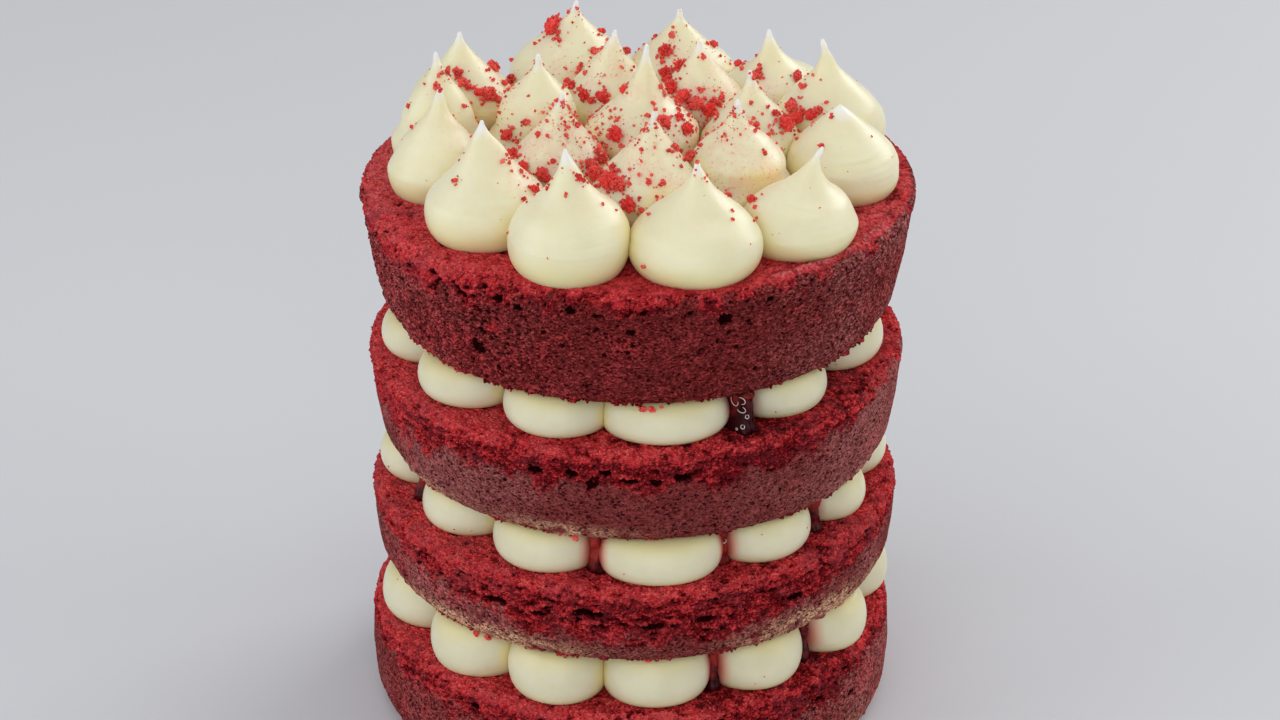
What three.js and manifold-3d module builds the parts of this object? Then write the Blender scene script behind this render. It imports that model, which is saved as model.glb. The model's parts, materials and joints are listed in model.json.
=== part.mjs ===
// Red velvet layer cake: four sponge layers, three rings of piped cream with jam inside them,
// and piped cream kisses with red crumbs on top.
// Millimetres, +Z up, front towards -Y. The origin is under the middle of the cake, at its foot.
import * as THREE from 'three';
import Module from 'manifold-3d';

// Sponge layers, from the bottom up. The sides lean out towards the top, as the tin does.
// x is how far a layer sits off the middle, mid_r the radius at half height.
const SPONGES = [
  { x: -1.5, bottom: 0, top: 29.5, foot_r: 73.2, mid_r: 74.4, rim_r: 73.6 },
  { x: -0.3, bottom: 44.5, top: 69, foot_r: 71.8, mid_r: 73.4, rim_r: 74.0 },
  { x: 0.1, bottom: 81, top: 111, foot_r: 70.2, mid_r: 72.8, rim_r: 74.2 },
  { x: 0.6, bottom: 122, top: 157.5, foot_r: 69.8, mid_r: 73.6, rim_r: 77.4 },
];
const SPONGE_COLUMNS = 42;
const FOOT_ROUND = 6;
const FOOT_ROUND_IN = 5;
const RIM_ROUND = 3.6;
const SIDE_ROUGHNESS = 0.35;
const SIDE_WAVE = 0.45;

// Larger pores in the sides, for each layer from the bottom up: angle from the front towards +X in
// degrees, height above the layer's foot, width and height of the pore.
const PORES = [
  [
    [-84, 13, 6, 3], [-30, 20, 5, 2.6], [24, 19, 5, 2.4],
    [57, 17, 4.5, 2.6], [150, 14, 5, 3], [-140, 16, 4.5, 3],
  ],
  [
    [-31, 15.5, 7, 2.4], [-21, 14.5, 6, 2.2], [-10, 17, 8, 2.4], [4, 13, 7, 2.2],
    [15, 14, 7, 2.2], [37, 14, 6, 2.4], [165, 13, 6, 3],
  ],
  [
    [-21.8, 22, 5, 2.6], [-13.6, 22.6, 4, 2.4], [-9.4, 19.4, 3.6, 2.6],
    [-6.4, 24, 4, 2], [8, 21.2, 4.6, 2.4], [-150, 16, 4.5, 3],
  ],
  [
    [-35.5, 13.6, 4.6, 3], [-33.9, 19, 2.8, 2.2], [-1.3, 24.9, 2.6, 2.2], [17.8, 27.3, 4.4, 3.6],
    [-11, 6.4, 2.8, 2.2], [27.4, 31, 3, 2.2], [140, 18, 4.5, 3],
  ],
];
const PORE_DEPTH = 1.4;

// Rings of piped cream between the layers. Each blob has its angle from the front towards +X in
// degrees, its width, and how much further out it comes than reach, the ring's usual outermost
// radius; the rear ones share what is left evenly. under is the layer below the ring.
const RINGS = [
  {
    under: 0, x: -0.4, reach: 72.4, rear: 6, rear_width: 28,
    front: [
      [-76.5, 29, 1.8], [-46, 28.5, 0.8], [-20.2, 27.5, 1.9], [5.8, 30.5, 0], [34, 28, 0.2],
      [61, 25.5, 0.5], [90, 28, 0],
    ],
    jam: [[20.4, 63, 5], [48, 64, 6]],
  },
  {
    under: 1, x: 0, reach: 71.6, rear: 6, rear_width: 27.5,
    front: [
      [-88, 27, 1.2], [-55, 27, -2.8], [-24.7, 30.5, 0], [6.5, 34, 2.2], [36, 29.5, -0.4],
      [64.5, 25, -1.3], [92, 28, 0],
    ],
    jam: [[-71, 64, 6.5], [-9.9, 64, 6], [22.3, 63, 5], [51.6, 64, 5]],
  },
  {
    under: 2, x: 0.3, reach: 71.4, rear: 7, rear_width: 27,
    front: [
      [-80.5, 27, 0.8], [-51.5, 28.5, 0.8], [-21.4, 29.5, 0], [7.6, 34.2, 1], [42, 29, -1.4],
      [78, 32, -1.6],
    ],
    jam: [[25.9, 66, 6.5]],
  },
];
const RING_INNER_R = 44;
const BLOB_DEPTH = 14;
// Where round a blob its outline has corners, in degrees from its outermost point.
const BLOB_CORNERS = [-66, -40, -13, 13, 40, 66];
// How far in from its belt a blob is, from the layer below to the layer above, and at what share
// of the height between them.
const BLOB_PROFILE = [[3.4, 0], [0.3, 0.26], [0.4, 0.6], [5.2, 1]];
const NECK_DROP = 0.34;
const JAM_NECK_R = 54;

// Jam inside each ring: a disc, with tongues that come out between blobs. A tongue has its angle,
// how far out it comes and its width.
const JAM_R = RING_INNER_R - 0.6;
const JAM_COLUMNS = 26;

// Kisses on the top layer: x and y from the layer's middle, width, height, how far the tip leans
// towards +X and +Y, and how wide it is at the last five of KISS_SHARES, as shares of its width.
const OUTER_KISSES = [
  [-17.6, -54.3, 32.9, 32.1, -0.5, 1.8, 0.98, 0.85, 0.53, 0.28, 0.12],
  [15, -53.1, 35.7, 28.3, 1.3, 2.4, 0.96, 0.79, 0.52, 0.25, 0.09],
  [42.1, -36.5, 32, 25.3, 6.1, 0.4, 0.93, 0.77, 0.44, 0.21, 0.07],
  [55.9, -6, 30.5, 23.4, -1, 3.1, 1, 0.94, 0.76, 0.5, 0.24],
  [53.5, 21.2, 31.2, 32.3, -1.9, 1.2, 0.97, 0.79, 0.48, 0.2, 0.07],
  [39.3, 42.3, 30.5, 25.7, -3.1, 1.8, 1, 0.87, 0.46, 0.21, 0.09],
  [12.2, 55.3, 31.1, 27.3, -0.7, 1.5, 1, 0.85, 0.56, 0.3, 0.08],
  [-19.3, 54.4, 34.7, 30, 1.7, 0.3, 1, 0.86, 0.61, 0.32, 0.1],
  [-48.8, 33.3, 29.1, 29.8, -1.4, 0, 1, 0.88, 0.58, 0.31, 0.11],
  [-55.3, 13.1, 25.7, 32, 0.5, -0.1, 0.84, 0.74, 0.55, 0.28, 0.1],
  [-54.9, -6.2, 26.8, 30.6, 1.8, 0.3, 0.89, 0.73, 0.46, 0.21, 0.1],
  [-40.9, -30.9, 31.8, 31.2, 0.2, 1.6, 0.96, 0.71, 0.45, 0.25, 0.09],
];
const INNER_KISSES = [
  [2.3, -27, 30.1, 31.6, 2.7, 1.6, 0.99, 0.79, 0.54, 0.3, 0.09],
  [27.3, -16.8, 29.8, 30.4, -1.1, 1, 0.88, 0.83, 0.61, 0.27, 0.1],
  [31.1, 5.2, 28, 29.4, 0, 1.3, 1, 0.83, 0.58, 0.29, 0.1],
  [17.5, 27, 28.1, 29.4, -0.2, 0.8, 1, 0.85, 0.61, 0.35, 0.13],
  [-7.7, 30.3, 28.1, 30.9, 0.8, 1.3, 1, 0.83, 0.57, 0.35, 0.12],
  [-27.9, 12.4, 27.7, 31.4, 1.1, 1.2, 0.84, 0.78, 0.67, 0.35, 0.09],
  [-21.7, -10.8, 28, 29.8, 1.2, 1.2, 0.99, 0.81, 0.55, 0.29, 0.1],
];
const CENTRE_KISS = [1, 5.2, 31.6, 37.1, 1.5, 0.6, 1, 0.74, 0.38, 0.21, 0.08];
// A kiss is widest at its belt, a share of its height, and its foot is a share of that width.
const KISS_BELT = 0.18;
const KISS_FOOT = 0.85;
const KISS_SHARES = [0, 0.07, KISS_BELT, 0.32, 0.46, 0.6, 0.74, 0.88];
const KISS_COLUMNS = 13;
const KISS_GAP = 0.3;

// Red crumbs lying on the kisses and standing out of the bottom layer's rim.
const CRUMB_COUNT = 36;
const CRUMB_LARGEST = 2.3;
const CRUMB_SMALLEST = 0.9;
// A crumb stays only where this share of it is sunk into its kiss.
const CRUMB_HOLD = 0.15;
const CRUMB_BED = [4, 2, 40];
const RIM_CRUMBS = [[-84, 6.5, 2.2], [-88, 15, 1.8]];

const RED_SPONGE = new THREE.MeshStandardMaterial({ color: 0x8c2226, roughness: 0.85, metalness: 0 });
const CREAM = new THREE.MeshStandardMaterial({ color: 0xe8e0be, roughness: 0.42, metalness: 0 });
const FILLING_CREAM = new THREE.MeshStandardMaterial({ color: 0xdedac0, roughness: 0.45, metalness: 0 });
const JAM = new THREE.MeshStandardMaterial({ color: 0x6e1015, roughness: 0.15, metalness: 0 });

const wasm = await Module();
wasm.setup();

const TURN = 2 * Math.PI;
const radians = (degrees) => degrees * Math.PI / 180;

// Angles count from the front (-Y) towards +X.
const across = (angle) => Math.sin(angle);
const along = (angle) => -Math.cos(angle);

// A repeatable stream of numbers from 0 to 1.
function stream(seed) {
  let state = seed >>> 0;
  return () => {
    state = (state + 0x6d2b79f5) >>> 0;
    let mixed = Math.imul(state ^ (state >>> 15), 1 | state);
    mixed = (mixed + Math.imul(mixed ^ (mixed >>> 7), 61 | mixed)) ^ mixed;
    return ((mixed ^ (mixed >>> 14)) >>> 0) / 4294967296;
  };
}

// A smooth uneven wave round the cake, between about -1 and 1.
function unevenness(seed) {
  const next = stream(seed);
  const waves = [2, 3, 5, 8, 13].map((count) => ({
    count,
    phase: next() * TURN,
    share: 1.8 / (count + 3),
  }));
  const at = (wave, angle) => wave.share * Math.sin(wave.count * angle + wave.phase);
  return (angle) => waves.reduce((sum, wave) => sum + at(wave, angle), 0);
}

// Triangles between rings of points of one length. A loop joins the last ring to the first too.
function bands(ringCount, columns, loop) {
  const faces = [];
  const last = loop ? ringCount : ringCount - 1;
  for (let row = 0; row < last; row += 1) {
    for (let column = 0; column < columns; column += 1) {
      const next = (column + 1) % columns;
      const above = (row + 1) % ringCount;
      const a = row * columns + column;
      const b = row * columns + next;
      const c = above * columns + next;
      const d = above * columns + column;
      faces.push(a, b, c, a, c, d);
    }
  }
  return faces;
}

// A closed body from rings stacked upwards, with one point under and one over them.
function stackedBody(rings, under, over) {
  const columns = rings[0].length;
  const faces = bands(rings.length, columns, false);
  const points = rings.flat();
  const underIndex = points.push(under) - 1;
  const overIndex = points.push(over) - 1;
  const top = (rings.length - 1) * columns;
  for (let column = 0; column < columns; column += 1) {
    const next = (column + 1) % columns;
    faces.push(underIndex, next, column);
    faces.push(overIndex, top + column, top + next);
  }
  return geometryFrom(points, faces);
}

function geometryFrom(points, faces) {
  const geometry = new THREE.BufferGeometry().setFromPoints(points);
  geometry.setIndex(faces);
  return geometry;
}

function toSolid(geometry) {
  return new wasm.Manifold(new wasm.Mesh({
    numProp: 3,
    vertProperties: new Float32Array(geometry.attributes.position.array),
    triVerts: new Uint32Array(geometry.index.array),
  }));
}

function fromSolid(solid) {
  const mesh = solid.getMesh();
  const geometry = new THREE.BufferGeometry();
  geometry.setAttribute('position', new THREE.BufferAttribute(new Float32Array(mesh.vertProperties), 3));
  geometry.setIndex(new THREE.BufferAttribute(new Uint32Array(mesh.triVerts), 1));
  return geometry;
}

// A small lump: an icosahedron with uneven corners, stretched and turned.
function lump(centre, radii, turn, next) {
  const round = new THREE.IcosahedronGeometry(1, 0).attributes.position;
  const corners = [];
  const faces = [];
  for (let index = 0; index < round.count; index += 1) {
    const corner = new THREE.Vector3().fromBufferAttribute(round, index);
    let found = corners.findIndex((known) => known.distanceTo(corner) < 1e-4);
    if (found < 0) {
      found = corners.push(corner) - 1;
    }
    faces.push(found);
  }
  const points = corners.map((corner) => corner.clone()
    .multiplyScalar(0.86 + 0.28 * next())
    .multiply(radii)
    .applyEuler(turn)
    .add(centre));
  return geometryFrom(points, faces);
}

// A sponge layer: its side leans from the foot to the rim, the foot is rounded, the rim is
// broken and the top is flat. Pores are cut into the side.
function spongeLayer(layer, index) {
  const wave = unevenness(11 + index);
  const rimWave = unevenness(31 + index);
  const next = stream(101 + index);
  const height = layer.top - layer.bottom;
  const radiusAt = (share) => (share < 0.5
    ? layer.foot_r + (layer.mid_r - layer.foot_r) * share * 2
    : layer.mid_r + (layer.rim_r - layer.mid_r) * (share * 2 - 1));
  const ring = (radius, z, roughness, rough) => Array.from({ length: SPONGE_COLUMNS }, (_, column) => {
    const angle = column / SPONGE_COLUMNS * TURN;
    const own = radius + SIDE_WAVE * wave(angle) + roughness * (2 * next() - 1);
    const level = z + rough * rimWave(angle);
    return new THREE.Vector3(layer.x + own * across(angle), own * along(angle), level);
  });
  const rimHeight = height - RIM_ROUND;
  const rings = [
    ring(layer.foot_r - FOOT_ROUND_IN, layer.bottom, 0, 0),
    ring(layer.foot_r - FOOT_ROUND_IN * 0.3, layer.bottom + FOOT_ROUND * 0.28, 0.1, 0),
    ring(radiusAt(FOOT_ROUND / height), layer.bottom + FOOT_ROUND, SIDE_ROUGHNESS, 0),
  ];
  for (const share of [0.25, 0.5, 0.75]) {
    const z = FOOT_ROUND + (rimHeight - FOOT_ROUND) * share;
    rings.push(ring(radiusAt(z / height), layer.bottom + z, SIDE_ROUGHNESS, 0.3));
  }
  rings.push(ring(radiusAt(rimHeight / height), layer.bottom + rimHeight, SIDE_ROUGHNESS, 0.4));
  rings.push(ring(layer.rim_r - RIM_ROUND * 0.34, layer.top - RIM_ROUND * 0.34, 0.25, 0.35));
  rings.push(ring(layer.rim_r - RIM_ROUND * 1.1, layer.top, 0, 0));
  const under = new THREE.Vector3(layer.x, 0, layer.bottom);
  const over = new THREE.Vector3(layer.x, 0, layer.top);
  let solid = toSolid(stackedBody(rings, under, over));
  for (const [degrees, level, width, tall] of PORES[index]) {
    const angle = radians(degrees);
    const radius = radiusAt(level / height) + SIDE_WAVE * wave(angle);
    const x = layer.x + radius * across(angle);
    const centre = new THREE.Vector3(x, radius * along(angle), layer.bottom + level);
    const radii = new THREE.Vector3(width / 2, PORE_DEPTH, tall / 2);
    solid = solid.subtract(toSolid(lump(centre, radii, new THREE.Euler(0, 0, angle), next)));
  }
  return solid;
}

// Crumbs that stand out of the side of a layer, joined to it.
function withRimCrumbs(solid, layer) {
  const next = stream(71);
  for (const [degrees, level, size] of RIM_CRUMBS) {
    const angle = radians(degrees);
    const radius = layer.foot_r + 0.2;
    const centre = new THREE.Vector3(layer.x + radius * across(angle), radius * along(angle), level);
    const radii = new THREE.Vector3(size * 0.6, size * 0.8, size * 0.6);
    solid = solid.add(toSolid(lump(centre, radii, new THREE.Euler(0, 0, angle), next)));
  }
  return solid;
}

// The blobs of a ring in order round the cake, with the angle where each meets the next one.
function blobsOf(ring) {
  const front = ring.front.map(([degrees, width, more]) => ({
    angle: radians(degrees), width, more,
  }));
  const last = front[front.length - 1].angle;
  const step = (front[0].angle + TURN - last) / (ring.rear + 1);
  const rear = Array.from({ length: ring.rear }, (_, index) => ({
    angle: last + step * (index + 1),
    width: ring.rear_width,
    more: 0,
  }));
  const blobs = [...front, ...rear];
  blobs.forEach((blob, index) => {
    const next = blobs[(index + 1) % blobs.length];
    const after = index + 1 < blobs.length ? next.angle : next.angle + TURN;
    blob.join = blob.angle + (after - blob.angle) * blob.width / (blob.width + next.width);
  });
  return blobs;
}

// A ring of blobs as one body. In plan each blob is an ellipse pressed flat against its
// neighbours; its side bulges between the two layers, and a lower neck joins it to the next.
// grow makes the ring fatter all over, for cutting the jam clear of it.
function creamRing(ring, grow) {
  const floor = SPONGES[ring.under].top - grow;
  const ceiling = SPONGES[ring.under + 1].bottom + grow;
  const next = stream(211 + ring.under);
  const blobs = blobsOf(ring);
  const rows = Array.from({ length: BLOB_PROFILE.length + 2 }, () => []);
  const column = (angle, radiusAt, top) => {
    const place = (radius, z, row) => {
      rows[row].push(new THREE.Vector3(ring.x + radius * across(angle), radius * along(angle), z));
    };
    BLOB_PROFILE.forEach(([inward, share], row) => {
      place(radiusAt(inward), floor + (top - floor) * share, row);
    });
    place(RING_INNER_R - grow, top, BLOB_PROFILE.length);
    place(RING_INNER_R - grow, floor, BLOB_PROFILE.length + 1);
  };
  for (const [index, blob] of blobs.entries()) {
    const reach = ring.reach + blob.more + 1.4 * (next() - 0.6);
    const middle = reach - BLOB_DEPTH;
    const before = blobs[(index + blobs.length - 1) % blobs.length];
    const from = before.join - (index === 0 ? TURN : 0);
    for (const degrees of BLOB_CORNERS) {
      const turn = radians(degrees);
      const side = Math.sin(turn) * blob.width / 2;
      const angle = blob.angle + Math.atan2(side, middle + BLOB_DEPTH * Math.cos(turn));
      const held = Math.min(Math.max(angle, from + 0.02), blob.join - 0.02);
      const out = middle + BLOB_DEPTH * Math.cos(turn);
      column(held, (inward) => out - inward + grow, ceiling);
    }
    const jammed = ring.jam.some(([at]) => Math.abs(radians(at) - blob.join) < 0.06);
    const neck = jammed ? JAM_NECK_R : middle + 3;
    const drop = (ceiling - floor) * NECK_DROP;
    column(blob.join, (inward) => neck - inward * 0.4 + grow, ceiling - drop);
  }
  return geometryFrom(rows.flat(), bands(rows.length, rows[0].length, true));
}

// The jam inside a ring: a disc with tongues that come out over the low necks between blobs, each
// wider and further out at its foot.
function jamFilling(ring) {
  const floor = SPONGES[ring.under].top;
  const ceiling = SPONGES[ring.under + 1].bottom;
  const disc = (z) => Array.from({ length: JAM_COLUMNS }, (_, column) => {
    const angle = column / JAM_COLUMNS * TURN;
    return new THREE.Vector3(ring.x + JAM_R * across(angle), JAM_R * along(angle), z);
  });
  const under = new THREE.Vector3(ring.x, 0, floor);
  const over = new THREE.Vector3(ring.x, 0, ceiling);
  let solid = toSolid(stackedBody([disc(floor), disc(ceiling)], under, over));
  for (const [degrees, reach, width] of ring.jam) {
    const angle = radians(degrees);
    const back = JAM_R - 6;
    const outline = (z, out, wide) => [
      [back, -1.5], [out - 1.5, -wide / 2], [out, 0], [out - 1.5, wide / 2], [back, 1.5],
    ].map(([radius, side]) => new THREE.Vector3(
      ring.x + radius * across(angle) - side * along(angle),
      radius * along(angle) + side * across(angle),
      z,
    ));
    const middle = (JAM_R + reach) / 2;
    const point = (z) => new THREE.Vector3(ring.x + middle * across(angle), middle * along(angle), z);
    const low = floor + (ceiling - floor) * 0.3;
    const tongue = [
      outline(floor, reach + 2, width * 1.3),
      outline(low, reach, width),
      outline(ceiling, reach, width),
    ];
    solid = solid.add(toSolid(stackedBody(tongue, point(floor), point(ceiling))));
  }
  const clear = solid.subtract(toSolid(creamRing(ring, 0.3)));
  const pieces = clear.decompose().sort((a, b) => b.volume() - a.volume());
  return fromSolid(pieces[0]);
}

// Keeps a point on its own side of the flat planes where a kiss meets its neighbours, by moving
// it towards the kiss's middle, or straight back where that would be too far.
function heldBack(point, centre, planes) {
  const held = point.clone();
  for (const { normal, offset } of planes) {
    const beyond = normal.dot(held) - offset;
    if (beyond > 0) {
      const outward = held.clone().sub(centre).setZ(0);
      const rate = normal.dot(outward);
      const towards = rate > 0.2 * outward.length() ? outward.divideScalar(rate) : normal;
      held.addScaledVector(towards, -beyond);
    }
  }
  return held;
}

// The planes halfway between a kiss and each neighbour, weighted by their widths.
function meetingPlanes(kiss, others) {
  return others.filter((other) => other !== kiss).map((other) => {
    const normal = new THREE.Vector3(other[0] - kiss[0], other[1] - kiss[1], 0);
    const distance = normal.length();
    normal.normalize();
    const share = distance / 2 + (kiss[2] - other[2]) / 4;
    const offset = normal.x * kiss[0] + normal.y * kiss[1] + share - KISS_GAP / 2;
    return { normal, offset };
  });
}

// The radius of a kiss at each of KISS_SHARES, as a share of its widest: it swells from its foot to
// its belt along a sine, and over the belt it has its own shares.
function kissRadii(kiss) {
  const foot = KISS_SHARES.filter((share) => share < KISS_BELT)
    .map((share) => KISS_FOOT + (1 - KISS_FOOT) * Math.sin(Math.PI / 2 * share / KISS_BELT) ** 0.7);
  return [...foot, 1, ...kiss.slice(6)];
}

// A kiss: a teardrop on a narrower foot, its tip leaning, pressed flat against its neighbours.
function kissBody(kiss, others, index) {
  const [x, y, width, height, leanX, leanY] = kiss;
  const radii = kissRadii(kiss);
  const planes = meetingPlanes(kiss, others);
  const wave = unevenness(401 + index);
  const rings = KISS_SHARES.map((share, row) => {
    const centre = new THREE.Vector3(x + leanX * share ** 2, y + leanY * share ** 2, height * share);
    return Array.from({ length: KISS_COLUMNS }, (_, column) => {
      const angle = column / KISS_COLUMNS * TURN;
      const own = width / 2 * radii[row] * (1 + 0.025 * wave(angle));
      const out = new THREE.Vector3(own * across(angle), own * along(angle), 0);
      return heldBack(out.add(centre), centre, planes);
    });
  });
  const under = new THREE.Vector3(x, y, 0);
  const over = new THREE.Vector3(x + leanX, y + leanY, height);
  return toSolid(stackedBody(rings, under, over));
}

// Crumbs, largest first, each on the kiss it falls on and clear of the kisses beside it.
function crumbsByKiss(kisses) {
  const next = stream(907);
  const lying = kisses.map(() => []);
  let placed = 0;
  while (placed < CRUMB_COUNT) {
    const size = CRUMB_LARGEST - (CRUMB_LARGEST - CRUMB_SMALLEST) * (placed / CRUMB_COUNT) ** 0.6;
    const away = CRUMB_BED[2] * Math.sqrt(next());
    const angle = next() * TURN;
    const x = CRUMB_BED[0] + away * across(angle);
    const y = CRUMB_BED[1] + away * along(angle);
    const nearest = kisses.map((kiss) => Math.hypot(kiss[0] - x, kiss[1] - y) - kiss[2] / 2);
    const index = nearest.indexOf(Math.min(...nearest));
    const kiss = kisses[index];
    const share = Math.hypot(kiss[0] - x, kiss[1] - y) / (kiss[2] / 2);
    const planes = meetingPlanes(kiss, kisses);
    const room = Math.min(...planes.map(({ normal, offset }) => offset - normal.x * x - normal.y * y));
    if (share > 0.25 && share < 0.92 && room > size * 1.15) {
      lying[index].push({ x, y, z: kissHeightAt(kiss, share), size });
      placed += 1;
    }
  }
  return lying.map((list) => list.map((crumb) => lump(
    new THREE.Vector3(crumb.x, crumb.y, crumb.z + crumb.size * 0.1),
    new THREE.Vector3(crumb.size, crumb.size * 0.8, crumb.size * 0.7),
    new THREE.Euler(next() * TURN, next() * TURN, next() * TURN),
    next,
  )));
}

// The height of a kiss's upper side at a share of its radius.
function kissHeightAt(kiss, share) {
  const radii = [...kissRadii(kiss), 0];
  const heights = [...KISS_SHARES, 1];
  const over = radii.findIndex((radius, row) => heights[row] > KISS_BELT && radius < share);
  const part = (radii[over - 1] - share) / (radii[over - 1] - radii[over]);
  return kiss[3] * (heights[over - 1] + part * (heights[over] - heights[over - 1]));
}

function named(geometry, material, name) {
  const mesh = new THREE.Mesh(geometry, material);
  mesh.name = name;
  return mesh;
}

const cake = new THREE.Group();
SPONGES.forEach((layer, index) => {
  const plain = spongeLayer(layer, index);
  const solid = index === 0 ? withRimCrumbs(plain, layer) : plain;
  cake.add(named(fromSolid(solid), RED_SPONGE, `sponge_layer_${index + 1}`));
});
RINGS.forEach((ring, index) => {
  cake.add(named(creamRing(ring, 0), FILLING_CREAM, `cream_ring_${index + 1}`));
  cake.add(named(jamFilling(ring), JAM, `jam_${index + 1}`));
});

const topping = new THREE.Group();
const topLayer = SPONGES[SPONGES.length - 1];
topping.position.set(topLayer.x, 0, topLayer.top);
const kisses = [...OUTER_KISSES, ...INNER_KISSES, CENTRE_KISS];
const crumbs = crumbsByKiss(kisses);
kisses.forEach((kiss, index) => {
  let solid = kissBody(kiss, kisses, index);
  for (const crumb of crumbs[index].map(toSolid)) {
    if (solid.intersect(crumb).volume() > CRUMB_HOLD * crumb.volume()) {
      solid = solid.add(crumb);
    }
  }
  const outer = String(index + 1).padStart(2, '0');
  const inner = index + 1 - OUTER_KISSES.length;
  const name = index < OUTER_KISSES.length ? `kiss_outer_${outer}` : `kiss_inner_${inner}`;
  topping.add(named(fromSolid(solid), CREAM, kiss === CENTRE_KISS ? 'kiss_centre' : name));
});
cake.add(topping);

export default cake;
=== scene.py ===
"""A red velvet layer cake: sponge, piped cream, jam, cream kisses and crumbs, made round its frame."""
import json
import math

import bpy
import numpy as np
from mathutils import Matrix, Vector

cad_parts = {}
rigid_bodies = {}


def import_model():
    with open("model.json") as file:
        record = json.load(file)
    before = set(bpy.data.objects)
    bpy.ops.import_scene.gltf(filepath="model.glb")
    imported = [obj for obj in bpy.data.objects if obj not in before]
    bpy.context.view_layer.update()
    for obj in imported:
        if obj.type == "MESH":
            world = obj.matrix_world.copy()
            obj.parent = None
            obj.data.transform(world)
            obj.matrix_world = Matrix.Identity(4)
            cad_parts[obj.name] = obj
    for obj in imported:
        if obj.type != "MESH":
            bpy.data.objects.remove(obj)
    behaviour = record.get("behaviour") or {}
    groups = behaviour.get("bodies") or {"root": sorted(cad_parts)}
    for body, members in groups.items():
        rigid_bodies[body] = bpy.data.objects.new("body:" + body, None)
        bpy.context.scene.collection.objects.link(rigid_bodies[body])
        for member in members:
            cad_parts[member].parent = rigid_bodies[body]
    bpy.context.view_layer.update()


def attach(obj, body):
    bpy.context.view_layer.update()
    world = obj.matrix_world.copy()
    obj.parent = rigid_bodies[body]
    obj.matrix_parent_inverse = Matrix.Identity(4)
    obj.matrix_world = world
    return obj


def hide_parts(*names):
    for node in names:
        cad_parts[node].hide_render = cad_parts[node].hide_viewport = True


bl_info = {
    "name": "Red Velvet Layer Cake",
    "version": (1, 0, 0),
    "blender": (4, 5, 0),
    "location": "3D View > Sidebar > Cake",
    "description": "Makes a layer cake with piped cream, jam and crumbs",
    "category": "Add Mesh",
}

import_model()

MM = 0.001
TURN = 2 * math.pi

# Sponge layers, from the bottom up, in mm: x off the middle, heights, and the radius at the foot,
# half way up and at the rim. Then shares: how many caves the torn crumb has, how uneven the
# crust's colour is, how wavy and how ragged its upper edge is, how many round pores it has, and how
# far its foot crumbles. Last, the painted light and shade in the crumb's colour: how much lighter
# the layer is painted, its side and the front of its side, and how much painted shade darkens the
# right of its side.
SPONGES = [
    {"x": -1.5, "bottom": 0, "top": 29.5, "foot_r": 73.2, "mid_r": 74.4, "rim_r": 73.8,
     "caves": 0.6, "coarse": 0.6, "wavy": 0.22, "ragged": 0.10, "holed": 0.45, "crumbly": 0.7,
     "light": -0.06, "side_light": 0, "front_light": 0.40, "right_shade": 0.30},
    {"x": -0.3, "bottom": 44.5, "top": 69, "foot_r": 71.8, "mid_r": 73.5, "rim_r": 74.2,
     "caves": 0.8, "coarse": 0.6, "wavy": 0.22, "ragged": 0.10, "holed": 0.45, "crumbly": 0.7,
     "light": 0, "side_light": 0.10, "front_light": 0, "right_shade": 0.12},
    {"x": 0.1, "bottom": 81, "top": 111, "foot_r": 70.2, "mid_r": 72.9, "rim_r": 74.4,
     "caves": 0.4, "coarse": 0.45, "wavy": 0.22, "ragged": 0.10, "holed": 0.45, "crumbly": 0.7,
     "light": 0, "side_light": 0.04, "front_light": 0, "right_shade": 0.42},
    {"x": 0.6, "bottom": 122, "top": 157.5, "foot_r": 69.8, "mid_r": 73.6, "rim_r": 76.2,
     "caves": 1.0, "coarse": 0.95, "wavy": 0.34, "ragged": 0.16, "holed": 0.65, "crumbly": 1.1,
     "light": 0, "side_light": -0.12, "front_light": 0, "right_shade": 0},
]
TOP_SPONGE = SPONGES[-1]
# How fine the surfaces are: about how many triangles a layer has and how high a row is in mm, rows and
# columns of a blob, of the jam and of a bubble's rim, and a kiss's columns and its rows as shares of
# its height, under and over its belt.
SPONGE_FACES = 196000
SPONGE_ROW = 0.44
BLOB_GRID = (22, 72)
JAM_GRID = (16, 1080)
RIM_GRID = (48, 12)
KISS_COLUMNS = 112
KISS_ROWS = (0.014, 0.0105)
# Roundings of a layer's foot and rim, up and inwards (the rim's as a share), and the radii where
# the open part of the top ends and where cream covers all.
FOOT_ROUND, FOOT_ROUND_IN = 6.0, 5.0
RIM_ROUND, RIM_ROUND_IN = 3.6, 1.1
OPEN_TOP_R, COVERED_R = 61, 42
# The top layer's rim is rounder at the left, and its skin lifts into a lip at the right.
SOFT_RIM_ROUND = 7.5

# How the sides change round the cake, at angles in degrees from the front towards +X: where the
# brown crust ends as a share of each layer's height, how round the top layer's rim is and how
# much of its top is smooth skin.
ANGLES = [-180, -120, -90, -60, -35, -10, 15, 40, 65, 90, 130, 180]
CRUST_TOP = [
    [0.60, 0.72, 0.75, 0.74, 0.72, 0.60, 0.55, 0.66, 0.80, 0.78, 0.70, 0.60],
    [0.55, 0.62, 0.76, 0.74, 0.50, 0.30, 0.27, 0.54, 0.76, 0.78, 0.66, 0.55],
    [0.60, 0.55, 0.56, 0.56, 0.62, 0.66, 0.66, 0.78, 0.94, 0.90, 0.58, 0.60],
    [0.95, 0.92, 0.86, 0.74, 0.78, 0.88, 0.96, 1.02, 1.02, 1.00, 0.95, 0.95],
]
SOFT_RIM = [0.2, -0.2, -0.3, 0.5, 1.0, 0.7, 0.3, 0.0, -0.1, -0.4, -0.3, 0.2]
SKIN = [0.6, 0.6, 0.22, 0.12, 0.4, 0.6, 0.75, 1.0, 0.7, 0.6, 0.6, 0.6]
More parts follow.
